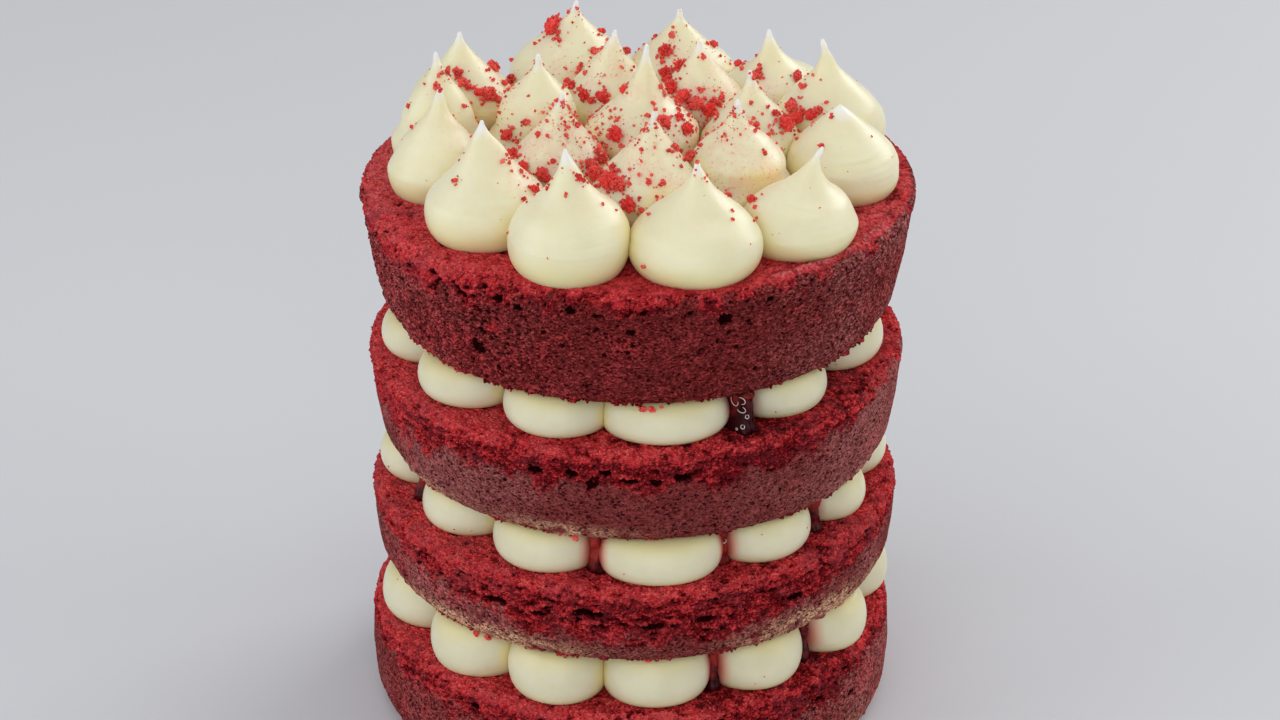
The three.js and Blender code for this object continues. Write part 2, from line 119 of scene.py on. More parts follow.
# How much mauve bloom lies on each layer's crust, with painted sheen in it that is strongest at the
# left and right sides, and how much of the crust is fresh red, in the same way.
BLOOM_AND_SHEEN = [
    [0.22, 0.26, 0.50, 0.46, 0.32, 0.20, 0.18, 0.38, 0.70, 0.66, 0.34, 0.22],
    [0.22, 0.26, 0.70, 0.70, 0.50, 0.30, 0.30, 0.46, 0.60, 0.56, 0.30, 0.22],
    [0.22, 0.26, 0.72, 0.76, 0.50, 0.20, 0.20, 0.52, 0.86, 0.80, 0.30, 0.22],
    [0.14, 0.18, 0.50, 0.36, 0.16, 0.08, 0.08, 0.36, 0.62, 0.66, 0.24, 0.14],
]
FRESH = [
    [0.30, 0.30, 0.60, 0.80, 0.70, 0.55, 0.45, 0.60, 0.95, 0.90, 0.40, 0.30],
    [0.20, 0.20, 0.60, 0.85, 0.65, 0.35, 0.35, 0.45, 0.50, 0.50, 0.20, 0.20],
    [0.20, 0.20, 0.60, 0.70, 0.40, 0.28, 0.28, 0.40, 0.80, 0.80, 0.20, 0.20],
    [0.50, 0.60, 1.10, 1.10, 0.90, 0.54, 0.42, 0.46, 0.68, 0.90, 0.50, 0.50],
]
# Tan patches low on each layer's side: angle, half width, height in mm and strength.
TAN = [
    [(-52, 14, 6, 0.5), (52, 16, 12, 0.6), (128, 20, 5, 0.5)],
    [(-38, 22, 9, 2.0), (47, 17, 12, 2.6), (150, 18, 6, 0.8)],
    [(-17, 13, 8, 1.1), (-62, 18, 7, 1.2), (62, 14, 6, 0.7), (170, 18, 6, 0.7)],
    [(176, 14, 5, 0.5)],
]
# Where round the cake, in degrees, the top layer's side is broken, its side is open, its skin lifts
# into a lip and its far left rim has painted sheen, and where every layer's crumb has painted light
# and painted shade: where each starts, is full, is last full and ends.
BROKEN = (-150, -110, -40, -10)
OPEN = (-150, -110, -30, -5)
LIFTED = (27, 33, 62, 74)
RIM_SHEEN = (-135, -110, -84, -66)
LIT = (-170, -120, -60, -15)
SHADED = (6, 26, 48, 68)
LIP_R = 71.6

# Holes and grains in the crumb: cells in a mm, the share of cells that hold one, the smallest and
# the largest as a share of a cell, and the seed. Holes are flat, with these shares of the pitch.
HOLES = {
    "caves": (0.28, 0.8, 0.25, 0.6, 80),
    "gaps": (0.72, 0.85, 0.22, 0.6, 90),
    "fine": (0.7, 0.9, 0.2, 0.5, 100),
}
GRAINS = (1.1, 1.0, 0.45, 0.85, 75)
ROUND_PORES = (0.34, 0.12, 0.32, 110)
FLAT = np.array([0.9, 0.9, 2.4])
CRAG_PITCH = np.array([0.37, 0.37, 0.8])
# How far each stands out of the crumb or goes into it, in mm.
CRAG_OUT, GRAIN_OUT, SMALL_OUT = 0.7, 0.5, 0.2
CAVE_IN, GAP_IN, FINE_IN, ROUND_IN, PORE_IN = 1.8, 0.9, 0.45, 1.2, 2.4

# The larger pores in the sides: angle, height above the layer's foot, width and height, in mm.
PORES = [
    [(-84, 13, 6, 3), (-30, 20, 5, 2.6), (24, 19, 5, 2.4), (57, 17, 4.5, 2.6), (150, 14, 5, 3),
     (-140, 16, 4.5, 3)],
    [(-31, 15.5, 7, 2.4), (-21, 14.5, 6, 2.2), (-10, 17, 8, 2.4), (4, 13, 7, 2.2), (15, 14, 7, 2.2),
     (37, 14, 6, 2.4), (165, 13, 6, 3)],
    [(-21.8, 22, 5.2, 2.7), (-13.6, 22.4, 4.2, 2.5), (-9.4, 19.6, 3.8, 2.8), (-6.4, 23.6, 4.2, 2.2),
     (-1.2, 21.2, 5.4, 1.8), (4.2, 20.4, 3.6, 2.6), (9.6, 21.6, 4.6, 2.6), (-150, 16, 4.5, 3)],
    [(-35.6, 13.2, 5.4, 4.8), (-33.9, 19, 2.8, 2.2), (-1.3, 24.9, 2.6, 2.2), (17.8, 27.3, 4.4, 3.6),
     (-11, 6.4, 2.8, 2.2), (27.4, 31, 3, 2.2), (140, 18, 4.5, 3), (-47, 27.5, 3.6, 2.4), (-58, 23, 3, 2.2),
     (-29, 31, 3.4, 2.4), (-24.5, 29.5, 3, 2), (-13.5, 31.2, 3.4, 2), (-8, 29.6, 3, 1.8),
     (10.5, 30.4, 3.2, 1.8)],
]

# Rings of piped cream: the layer under each, its x and its reach from the middle. The front blobs
# have an angle, a width and how much further out than reach they come, and the rear ones share the
# rest. Jam has an angle, how far it comes out and how wide, then how thin it is at its foot and how
# much thinner at its top.
RINGS = [
    {"under": 0, "x": -0.4, "reach": 72.2, "rear": 6, "rear_width": 28,
     "front": [(-76.5, 29, 1.8), (-46, 28.5, 0.8), (-20.2, 27.5, 1.9), (5.8, 30.5, 0), (34, 28, 0.2),
               (61, 25.5, 0.5), (90, 28, 0)],
     "jam": [(20.4, 63, 5), (48, 64, 6)], "thin": (0.0, 0.8)},
    {"under": 1, "x": 0, "reach": 71.4, "rear": 6, "rear_width": 27.5,
     "front": [(-88, 27, 1.2), (-55, 27, -2.8), (-24.7, 30.5, 0), (6.5, 34, 2.2), (36, 29.5, -0.4),
               (64.5, 25, -1.3), (92, 28, 0)],
     "jam": [(-71, 64, 6.5), (-9.9, 64, 6), (22.3, 63, 5), (51.6, 64, 5)], "thin": (0.35, 0.65)},
    {"under": 2, "x": 0.3, "reach": 71.2, "rear": 7, "rear_width": 27,
     "front": [(-80.5, 27, 0.8), (-51.5, 28.5, 0.8), (-21.4, 29.5, 0), (7.6, 34.2, 1), (42, 29, -1.4),
               (78, 32, -1.6)],
     "jam": [(25.9, 68, 8)], "thin": (0.0, 0.45)},
]
# How deep a blob is, half of it in mm, how far it sinks into the sponge, and how far it presses
# into its neighbours.
BLOB_DEPTH = 14.0
BLOB_SINK = 0.4
BLOB_PRESS = 0.35
JAM_R = 43.4
JAM_ROUNDING = 0.8

# Kisses: x and y from the top layer's middle, width, height, how far the tip leans in x and y, and
# how wide it is at five heights, as shares of its width.
OUTER_KISSES = [
    (-17.8, -55.0, 32.4, 32.1, -0.3, 2.5, 0.98, 0.85, 0.53, 0.28, 0.12),
    (15, -54.4, 35.9, 28.3, 1.3, 3.7, 0.96, 0.79, 0.52, 0.25, 0.09),
    (42.1, -39.4, 32, 25.3, 6.1, 3.3, 0.93, 0.77, 0.44, 0.21, 0.07),
    (55.9, -6, 30.5, 23.4, -1, 3.1, 1, 0.94, 0.76, 0.5, 0.24),
    (53.5, 21.2, 31.2, 32.3, -1.9, 1.2, 0.97, 0.79, 0.48, 0.2, 0.07),
    (39.3, 42.3, 30.5, 25.7, -3.1, 1.8, 1, 0.87, 0.46, 0.21, 0.09),
    (12.2, 55.3, 31.1, 27.3, -0.7, 1.5, 1, 0.85, 0.56, 0.3, 0.08),
    (-19.3, 54.4, 34.7, 30, 1.7, 0.3, 1, 0.86, 0.61, 0.32, 0.1),
    (-48.8, 33.3, 29.1, 29.8, -1.4, 0, 1, 0.88, 0.58, 0.31, 0.11),
    (-55.3, 13.1, 25.7, 32, 0.5, -0.1, 0.84, 0.74, 0.55, 0.28, 0.1),
    (-54.9, -6.2, 26.8, 30.6, 1.8, 0.3, 0.89, 0.73, 0.46, 0.21, 0.1),
    (-40.9, -34.0, 31.8, 30.4, -0.9, 4.7, 0.96, 0.73, 0.47, 0.28, 0.12),
]
INNER_KISSES = [
    (2.3, -27, 30.1, 31.6, 2.7, 1.6, 0.99, 0.79, 0.54, 0.3, 0.09),
    (27.3, -16.8, 29.8, 30.4, -1.1, 1, 0.88, 0.83, 0.61, 0.27, 0.1),
    (31.1, 5.2, 28, 29.4, 0, 1.3, 1, 0.83, 0.58, 0.29, 0.1),
    (17.5, 27, 28.1, 29.4, -0.2, 0.8, 1, 0.85, 0.61, 0.35, 0.13),
    (-7.7, 30.3, 28.1, 30.9, 0.8, 1.3, 1, 0.83, 0.57, 0.35, 0.12),
    (-27.9, 12.4, 27.7, 31.4, 1.1, 1.2, 0.84, 0.78, 0.67, 0.35, 0.09),
    (-21.7, -10.8, 28, 29.8, 1.2, 1.2, 0.99, 0.81, 0.55, 0.29, 0.1),
]
KISSES = {
    **{f"kiss_outer_{number + 1:02d}": kiss for number, kiss in enumerate(OUTER_KISSES)},
    **{f"kiss_inner_{number + 1}": kiss for number, kiss in enumerate(INNER_KISSES)},
    "kiss_centre": (1, 5.2, 31.6, 37.1, 1.5, 0.6, 1, 0.74, 0.38, 0.21, 0.08),
}
# Where a kiss is widest, as a share of its height, how wide its foot is, the heights of its widths,
# its tip's radius, how far it sinks into the sponge and how far apart two of them stay.
KISS_BELT, KISS_FOOT = 0.21, 0.84
KISS_SHARES = [KISS_BELT, 0.32, 0.46, 0.6, 0.74, 0.88, 1.0]
KISS_TIP_R = 0.9
KISS_SINK = 0.5
KISS_GAP = -1.8
# Soft ledges and wrinkles in single kisses: angle from the front, share of the height, half width in
# degrees, half height as a share, how far out in mm, and how much higher it is a quarter turn on.
FOLDS = {
    "kiss_outer_01": [(0, 0.43, 60, 0.022, 0.22, 0.02), (5, 0.36, 70, 0.02, -0.2, 0),
                      (-10, 0.29, 60, 0.02, 0.16, 0), (38, 0.50, 16, 0.012, 0.25, -0.06),
                      (40, 0.465, 16, 0.012, 0.22, -0.05), (-20, 0.6, 40, 0.05, -0.3, 0.05)],
    "kiss_outer_02": [(35, 0.44, 26, 0.09, 0.7, -0.12), (22, 0.56, 26, 0.09, -0.6, -0.1),
                      (-30, 0.42, 40, 0.04, 0.3, 0.05)],
    "kiss_outer_03": [(-72, 0.5, 26, 0.11, 1.9, 0), (-5, 0.54, 40, 0.02, 0.35, -0.06),
                      (0, 0.50, 40, 0.02, -0.25, -0.06), (30, 0.5, 30, 0.03, 0.3, 0.1)],
    "kiss_outer_04": [(20, 0.56, 30, 0.02, 0.35, 0.1), (10, 0.52, 40, 0.02, -0.3, 0.08),
                      (-20, 0.4, 60, 0.05, 0.25, 0)],
    "kiss_outer_05": [(30, 0.42, 50, 0.05, 0.5, 0.05), (10, 0.52, 50, 0.05, -0.4, 0)],
    "kiss_outer_12": [(100, 0.42, 34, 0.12, 2.2, 0), (85, 0.76, 40, 0.10, 1.9, 0),
                      (100, 0.6, 40, 0.1, 1.4, 0), (15, 0.42, 50, 0.02, 0.2, -0.03),
                      (20, 0.37, 50, 0.018, -0.18, -0.02), (30, 0.53, 40, 0.05, 0.5, -0.1)],
    "kiss_outer_11": [(40, 0.5, 50, 0.06, 0.6, -0.1), (30, 0.63, 50, 0.05, -0.4, -0.1)],
    "kiss_inner_1": [(10, 0.46, 60, 0.05, 0.5, -0.1), (10, 0.58, 60, 0.05, -0.45, -0.1)],
    "kiss_inner_2": [(30, 0.46, 60, 0.06, 0.7, -0.05), (20, 0.6, 60, 0.05, -0.5, -0.05)],
    "kiss_inner_4": [(20, 0.42, 70, 0.05, 0.9, -0.12), (20, 0.53, 70, 0.05, -0.8, -0.12)],
    "kiss_inner_7": [(10, 0.5, 60, 0.05, 0.5, -0.08), (10, 0.62, 60, 0.05, -0.5, -0.08)],
}

# The camera, as the photograph was taken: what it looks at, how far off, how high and how long.
CAMERA_TARGET = (1.2, 0.0, 101.2)
CAMERA_DISTANCE = 1145.0
CAMERA_ELEVATION = 27.1
CAMERA_LENS = 114.75
SENSOR_WIDTH = 36
PHOTO_SIZE = (1280, 720)
# How bright the floor is where it is uneven, and where painted shade darkens it behind the cake, as shares.
FLOOR_SHADES = (0.97, 0.91)


def lattice(cells, seed):
    """A repeatable number from 0 to 1 for each whole-number cell, from multiplying and mixing bits."""
    c = cells.astype(np.int64).astype(np.uint32)
    h = c[..., 0] * np.uint32(73856093) ^ c[..., 1] * np.uint32(19349663)
    h = h ^ c[..., 2] * np.uint32(83492791) ^ np.uint32(seed * 9781 + 12345)
    h = (h ^ (h >> np.uint32(16))) * np.uint32(0x7FEB352D)
    h = (h ^ (h >> np.uint32(15))) * np.uint32(0x846CA68B)
    h = h ^ (h >> np.uint32(16))
    return h.astype(np.float64) / 2 ** 32


def smooth_noise(points, seed):
    """Value noise from -1 to 1: random numbers at whole-number corners, blended by smooth steps."""
    base = np.floor(points)
    part = points - base
    part = part * part * part * (part * (part * 6 - 15) + 10)
    total = np.zeros(len(points))
    for corner in np.ndindex(2, 2, 2):
        step = np.array(corner)
        weight = np.prod(np.where(step, part, 1 - part), axis=1)
        total += weight * lattice(base + step, seed)
    return total * 2 - 1


def layered_noise(points, seed, layers=4, gain=0.5):
    """Smooth noise added to itself at twice the pitch and gain times the strength, layers times."""
    total, strength, norm = np.zeros(len(points)), 1.0, 0.0
    for layer in range(layers):
        total += strength * smooth_noise(points * 2 ** layer + 17.3 * layer, seed + layer)
        norm += strength
        strength *= gain
    return total / norm


def pores(points, seed, share, smallest, largest):
    """Depth from 0 to 1 of round holes: each cell may hold one, of a random size at a random place,
    and the depth falls with the square of the distance from its middle."""
    base = np.floor(points)
    deepest = np.zeros(len(points))
    for step in np.ndindex(3, 3, 3):
        cell = base + np.array(step) - 1
        kept = lattice(cell, seed) < share
        size = smallest + (largest - smallest) * lattice(cell, seed + 1) ** 2
        place = cell + np.stack([lattice(cell, seed + axis) for axis in (2, 3, 4)], 1)
        away = np.sum((points - place) ** 2, axis=1) / size ** 2
        deepest = np.maximum(deepest, np.where(kept, np.clip(1 - away, 0, 1), 0))
    return deepest


def ease(low, high, value):
    """A smooth step from 0 at low to 1 at high."""
    share = np.clip((value - low) / (high - low), 0, 1)
    return share * share * (3 - 2 * share)


def between(value, start, full, last, end):
    """1 from full to last and 0 outside start to end, with a smooth step on both sides."""
    return ease(start, full, value) * ease(end, last, value)


def smooth_curve(at, places, values):
    """A curve through values at rising places that never overshoots: cubic stretches, level at the
    first place, whose slope elsewhere is the harmonic mean of the slopes on both sides."""
    gap = np.diff(places)
    slope = np.diff(values) / gap
    before, after = slope[:-1], slope[1:]
    both = np.where(before * after > 0, 2 * before * after / (before + after - 1e-9), 0)
    tangent = np.concatenate([[0], both, slope[-1:]])
    index = np.clip(np.searchsorted(places, at, side="right") - 1, 0, len(gap) - 1)
    part, gap = (at - places[index]) / gap[index], gap[index]
    return (values[index] * (2 * part ** 3 - 3 * part ** 2 + 1)
            + values[index + 1] * (3 * part ** 2 - 2 * part ** 3)
            + gap * tangent[index] * (part ** 3 - 2 * part ** 2 + part)
            + gap * tangent[index + 1] * (part ** 3 - part ** 2))


def round_wave(angle, seed, counts=(2, 3, 5, 8)):
    """A wave round the cake: sines of a few whole counts with random starts."""
    starts = np.random.default_rng(seed).uniform(0, TURN, len(counts))
    return sum(np.sin(count * angle + start) * 1.5 / (count + 3) for count, start in zip(counts, starts))


def around(radius, angle, z, x=0.0):
    """Points from a radius, an angle counted from the front towards +X, and a height."""
    return np.stack([x + radius * np.sin(angle), -radius * np.cos(angle), z + 0 * angle], -1)


def closed_grid(rows, under, over):
    """Quads between neighbouring rows that close round their columns, and a fan of triangles from
    a point under the first row and a point over the last."""
    count, columns, _ = rows.shape
    index = np.arange(count * columns).reshape(count, columns)
    right = np.roll(index, -1, axis=1)
    quads = np.stack([index[:-1], right[:-1], right[1:], index[1:]], -1).reshape(-1, 4)
    low = np.full(columns, count * columns)
    fans = [np.stack([low, right[0], index[0]], -1), np.stack([low + 1, index[-1], right[-1]], -1)]
    points = np.concatenate([rows.reshape(-1, 3), [under], [over]])
    return points, quads, np.concatenate(fans)


def make_piece(name, points, quads, triangles, attributes=None, smooth=True):
    """A mesh object from points in mm, with its faces and any numbers that vary over it."""
    mesh = bpy.data.meshes.new(name)
    mesh.vertices.add(len(points))
    mesh.vertices.foreach_set("co", (np.asarray(points) * MM).astype(np.float32).ravel())
    corners = np.concatenate([np.asarray(quads).ravel(), np.asarray(triangles).ravel()]).astype(np.int32)
    starts = np.concatenate([
        np.arange(len(quads)) * 4,
        len(quads) * 4 + np.arange(len(triangles)) * 3,
    ]).astype(np.int32)
    mesh.loops.add(len(corners))
    mesh.loops.foreach_set("vertex_index", corners)
    mesh.polygons.add(len(starts))
    mesh.polygons.foreach_set("loop_start", starts)
    mesh.polygons.foreach_set("use_smooth", np.full(len(starts), smooth))
    mesh.update(calc_edges=True)
    mesh.validate()
    for key, values in (attributes or {}).items():
        made = mesh.attributes.new(key, "FLOAT", "POINT")
        made.data.foreach_set("value", np.asarray(values, dtype=np.float32))
    piece = bpy.data.objects.new(name, mesh)
    bpy.context.collection.objects.link(piece)
    return piece


class Wire:
    """A number, colour or vector that flows out of a node."""

    def __init__(self, paint, socket):
        self.paint = paint
        self.socket = socket

    def maths(self, operation, first, second):
        """Two numbers taken together by a Math node."""
        return self.paint.node("ShaderNodeMath", {"operation": operation}, {0: first, 1: second})

    def __add__(self, other):
        return self.maths("ADD", self, other)

    def __radd__(self, other):
        return self.maths("ADD", other, self)

    def __sub__(self, other):
        return self.maths("SUBTRACT", self, other)

    def __rsub__(self, other):
        return self.maths("SUBTRACT", other, self)

    def __mul__(self, other):
        return self.maths("MULTIPLY", self, other)

    def __rmul__(self, other):
        return self.maths("MULTIPLY", other, self)


class Paint:
    """A material while its nodes are written. Its colours are the settings' names or wires."""

    def __init__(self, name, settings):
        self.settings = settings
        self.material = bpy.data.materials.new(name)
        self.material.use_nodes = True
        self.tree = self.material.node_tree
        self.tree.nodes.clear()

    def node(self, kind, settings=None, sockets=None, out=0):
        """Adds a node, sets its settings, then its sockets, and gives one of its outputs."""
        made = self.tree.nodes.new(kind)
        for key, value in (settings or {}).items():
            setattr(made, key, value)
        for key, value in (sockets or {}).items():
            if isinstance(value, Wire):
                self.tree.links.new(value.socket, made.inputs[key])
            else:
                made.inputs[key].default_value = value
        return Wire(self, made.outputs[out])

    def place(self):
        """Where a point lies on the cake, in metres."""
        return self.node("ShaderNodeTexCoord", out="Object")

    def carried(self, *names):
        """Numbers that the mesh carries."""
        wires = [self.node("ShaderNodeAttribute", {"attribute_name": name}, out="Fac") for name in names]
        return wires if len(wires) > 1 else wires[0]

    def noise(self, scale, detail=3.0, rough=0.55, place=None):
        """Soft noise from 0 to 1, with scale waves or so in a metre."""
        sockets = {"Vector": place or self.place(), "Scale": scale, "Detail": detail, "Roughness": rough}
        return self.node("ShaderNodeTexNoise", {}, sockets)

    def cells(self, scale, place, out="Distance"):
        """Random cells: how far the nearest cell's middle is, or a random colour for each cell."""
        return self.node("ShaderNodeTexVoronoi", {}, {"Vector": place, "Scale": scale}, out=out)

    def stretched(self, place, shares):
        """A place with each of its three numbers multiplied."""
        return self.node("ShaderNodeVectorMath", {"operation": "MULTIPLY"}, {0: place, 1: shares})

    def step(self, value, low, high):
        """0 where value is under low and 1 over high, smooth between."""
        settings = {"interpolation_type": "SMOOTHSTEP"}
        return self.node("ShaderNodeMapRange", settings, {"Value": value, "From Min": low, "From Max": high})

    def dents(self, scale, place, walls, picked):
        """Round dents in some of the cells, with the reach of their walls and how cells are picked."""
        hole = 1 - self.step(self.cells(scale, place), *walls)
        return hole * self.step(self.cells(scale, place, "Color"), *picked)

    def shifted(self, place, scale, distance):
        """A place moved about by noise, up to about distance in metres."""
        sockets = {"Vector": place, "Scale": scale, "Detail": 1.0}
        wobble = self.node("ShaderNodeTexNoise", {}, sockets, out="Color")
        centred = self.node("ShaderNodeVectorMath", {"operation": "SUBTRACT"}, {0: wobble, 1: [0.5] * 3})
        return self.node("ShaderNodeVectorMath", {"operation": "MULTIPLY_ADD"},
                         {0: centred, 1: [distance] * 3, 2: place})

    def tint(self, value):
        """The colour that a setting of this name has, and anything else as it is."""
        return colour(getattr(self.settings, value)) if isinstance(value, str) else value

    def mix(self, share, first, second):
        """The first colour where share is 0, the second where it is 1."""
        sockets = {0: share, 6: self.tint(first), 7: self.tint(second)}
        return self.node("ShaderNodeMix", {"data_type": "RGBA", "blend_type": "MIX"}, sockets, out=2)

    def bump(self, height, distance, strength=1.0):
        """Outward directions tilted as if the surface rose by height times distance."""
        return self.node("ShaderNodeBump", {}, {"Height": height, "Distance": distance, "Strength": strength})

    def finish(self, sockets):
        """Ends the material in one surface shader and gives it."""
        shader = self.node("ShaderNodeBsdfPrincipled", {}, sockets, out="BSDF")
        output = self.tree.nodes.new("ShaderNodeOutputMaterial")
        self.tree.links.new(shader.socket, output.inputs["Surface"])
        return self.material


def colour(values):
    """A colour with full cover from three numbers."""
    return (values[0], values[1], values[2], 1.0)


def sponge_paint(settings):
    """Red crumb made of small beads, with painted shade in its hollows and a painted highlight on its
    high points, painted light at the left and towards the top and painted shade at the right. Over it
    lies a browner crust with redder patches and painted shade in its hollows, a mauve bloom with
    painted sheen on its high points and tan patches near its foot, then a smooth top skin and a
    lifted lip painted pale as a sheen. Small dents and pores, painted dark as the shade inside them,
    come last."""
    paint = Paint("red_sponge", settings)
    crust, pit, glow, bloom, fresh, tan, skin, lip, coarse = paint.carried(
        "crust", "pit", "glow", "bloom", "fresh", "tan", "skin", "lip", "coarse")
    flat = paint.stretched(paint.place(), (1.0, 1.0, 1.4))
    broad, grain, fine = paint.noise(160.0, 4.0), paint.noise(600.0, 3.0, 0.6, flat), paint.noise(2400.0, 2.0)
    bent = paint.shifted(flat, 480.0, 0.0016)
    bead = 1 - paint.step(paint.cells(1050.0, bent), 0.10, 0.70)
    large = paint.dents(560.0, bent, (0.22, 0.34), (0.4, 0.48))
    small = paint.dents(1000.0, bent, (0.20, 0.36), (0.3, 0.4))

    # Torn crumb: painted shade in its hollows, the middle colour, then a painted highlight on its high points
    # and where painted light falls.
    shine = glow + (bead - 0.5) * 0.6 + (grain - 0.5) * 0.75 + (fine - 0.5) * 0.5
    crumb = paint.mix(paint.step(shine, 0.03, 0.54), "crumb_shade", "crumb_red")
    crumb = paint.mix(paint.step(shine, 0.55, 1.15), crumb, "crumb_light")
    patch = bloom * coarse * (1 - skin) * paint.step(broad + (grain - 0.5) * 0.3, 0.44, 0.6)
    crumb = paint.mix(patch, crumb, "crust_mauve")

    high = ((grain - 0.5) * (coarse * 0.7 + 0.3) + (bead - 0.5) * (coarse * 0.3 + 0.1)
            + (fine - 0.5) * 0.5)
    # Crust is painted darker in its hollows, as painted shade.
    brown = paint.mix(paint.step(high, -0.45, 0.45), "crust_shade", "crust_brown")
    redder = high + (broad - 0.5) * 0.7 + (fresh - 0.5) * 0.24
    brown = paint.mix(fresh * paint.step(redder, -0.15, 0.4), brown, "crust_red")
    # Mauve bloom on the crust's high points: partly real bloom and partly painted sheen, most at the left and
    # right sides.
    brown = paint.mix(bloom * paint.step(high, -0.4, 0.6) * 1.3, brown, "bloom")
    brown = paint.mix(tan * paint.step(high, -0.4, 0.3), brown, "tan")

    smooth = paint.mix(paint.step(broad + (grain - 0.5) * 0.8, 0.36, 0.64), "skin_dark", "skin_red")
    smooth = paint.mix(bloom * paint.step(high, -0.3, 0.4) * 0.8, smooth, "bloom")

    baked = paint.step(crust + high * 0.6, 0.1, 0.9)
    base = paint.mix(skin, paint.mix(baked, crumb, brown), smooth)
    # The lifted lip and the far left rim are painted pale on their high points, as painted sheen.
    base = paint.mix(lip * paint.step(high, -0.4, 0.3), base, "skin_sheen")
    # Dents and deep pits are painted dark, as the shade inside them.
    dents = (large * 0.8 + small * 0.75) * (baked * 0.4 - skin * 0.15 + 0.5)
    base = paint.mix(paint.step(dents, 0.05, 0.85) * 0.92, base, "pore_red")
    base = paint.mix(paint.step(pit, 0.2, 0.75) * 0.95, base, "deep_pore_shade")
    height = (grain * (0.6 - baked * 0.4) + fine * 0.15 + bead * (0.45 - baked * 0.3 - skin * 0.3)
              - dents * 0.9)
    return paint.finish({
        "Base Color": base,
        "Roughness": 0.80 + grain * 0.15 - skin * 0.25,
        "Specular IOR Level": 0.02,
        "Subsurface Weight": 0.05,
        "Subsurface Radius": (0.9, 0.2, 0.18),
        "Subsurface Scale": 0.0006,
        "Normal": paint.bump(height, 0.0010),
    })


def cream_paint(name, settings, base, deep):
    """Satin cream with soft light inside: faint streaks, painted yellow shade in the seams and near the
    sponge, painted light that makes the thin tips whiter, pink where fine crumbs have dusted it, and
    stained where jam touches."""
    paint = Paint(name, settings)
    tip, stain, seam, low, dust = paint.carried("tip", "stain", "seam", "low", "dust")
    soft, fine, dents = paint.noise(90.0, 3.0), paint.noise(1600.0, 2.0), paint.noise(260.0, 3.0)
    specks = paint.step(paint.noise(1100.0, 2.0), 0.58, 0.66)
    body = paint.mix(paint.step(soft, 0.35, 0.7), base, deep)
    # Painted yellow shade in the seams and near the sponge, and painted light that whitens the thin tips.
    body = paint.mix(seam * 0.85, body, "cream_shade")
    body = paint.mix(low * 0.7, body, "cream_low_shade")
    body = paint.mix(tip, body, "cream_tip")
    body = paint.mix(dust * (paint.step(dents, 0.3, 0.6) * 0.5 + specks * 1.2), body, "dust_pink")
    body = paint.mix(paint.step(stain, 0.0, 0.6) * 0.65, body, "stain_pink")
    body = paint.mix(paint.step(stain, 0.4, 0.9) * 0.9, body, "stain_red")
    return paint.finish({
        "Base Color": body,
        "Roughness": 0.22 + soft * 0.12 + dents * 0.16,
        "Specular IOR Level": 0.5,
        "Subsurface Weight": 0.6,
        "Subsurface Radius": (1.0, 0.80, 0.46),
        "Subsurface Scale": 0.008,
        "Normal": paint.bump(fine * 0.12 + soft + dents * 0.5, 0.0004, 0.6),
    })


def crumb_paint(settings):
    """Loose red crumbs, each with painted light on its grains and painted shade between them."""
    paint = Paint("red_crumb", settings)
    grain, broad = paint.noise(1700.0, 3.0), paint.noise(260.0, 2.0)
    bright = paint.mix(paint.carried("shade"), "loose_crumb", "loose_crumb_light")
    raised = paint.step(grain + (broad - 0.5) * 0.6, 0.32, 0.56)
    return paint.finish({
        "Base Color": paint.mix(raised, "loose_crumb_shade", bright),
        "Roughness": 0.6 + grain * 0.2,
        "Specular IOR Level": 0.35,
        "Subsurface Weight": 0.2,
        "Subsurface Radius": (1.0, 0.2, 0.15),
        "Subsurface Scale": 0.001,
        "Normal": paint.bump(grain, 0.0004, 0.8),
    })


def jam_paint(settings):
    """Dark wet jam, redder in patches where it is thin."""
    paint = Paint("red_jam", settings)
    broad, thin = paint.noise(240.0, 3.0), paint.carried("thin")
    redder = paint.step(thin * 0.8 + (broad - 0.5) * 1.8, 0.1, 0.9)
    return paint.finish({
        "Base Color": paint.mix(redder, "jam_dark", "jam_red"),
        "Roughness": 0.08 + broad * 0.16,
        "Specular IOR Level": 0.14,
        "Subsurface Weight": 0.2,
        "Subsurface Radius": (1.0, 0.1, 0.06),
        "Subsurface Scale": 0.002,
        "Normal": paint.bump(broad, 0.0004, 0.5),
    })


def bubble_paint(settings):
    """Wet film, painted pale as the highlight on a bubble's rim, pinker in places."""
    paint = Paint("jam_bubble", settings)
    film = paint.noise(700.0, 2.0)
    return paint.finish({
        "Base Color": paint.mix(film, "bubble_highlight", "cream_tip"),
        "Roughness": 0.10 + film * 0.1,
        "Specular IOR Level": 0.6,
    })


def floor_paint(settings):
    """A plain pale floor with the faintest unevenness, and painted shade that makes it a little darker behind
    the cake.
    """
    paint = Paint("pale_floor", settings)
    broad = paint.noise(3.0, 2.0)
    uneven, behind = (colour([part * share for part in settings.floor_pale]) for share in FLOOR_SHADES)
    base = paint.mix(broad, "floor_pale", uneven)
    away = paint.node("ShaderNodeSeparateXYZ", {}, {"Vector": paint.place()}, out="Y")
    # Painted shade: the floor is darker behind the cake.
    base = paint.mix(paint.step(away, 0.0, 0.7), base, behind)
    return paint.finish({"Base Color": base, "Roughness": 0.55 + broad * 0.1, "Specular IOR Level": 0.25})


def side_radius(layer, share):
    """A layer's radius at a share of its height: two straight stretches through the middle one."""
    return np.interp(share, [0, 0.5, 1], [layer["foot_r"], layer["mid_r"], layer["rim_r"]])


def spread(start, end, pitch):
    """Evenly spaced values from start up to but not including end, about pitch apart."""
    return np.linspace(start, end, max(2, round(abs(end - start) / pitch)), endpoint=False)


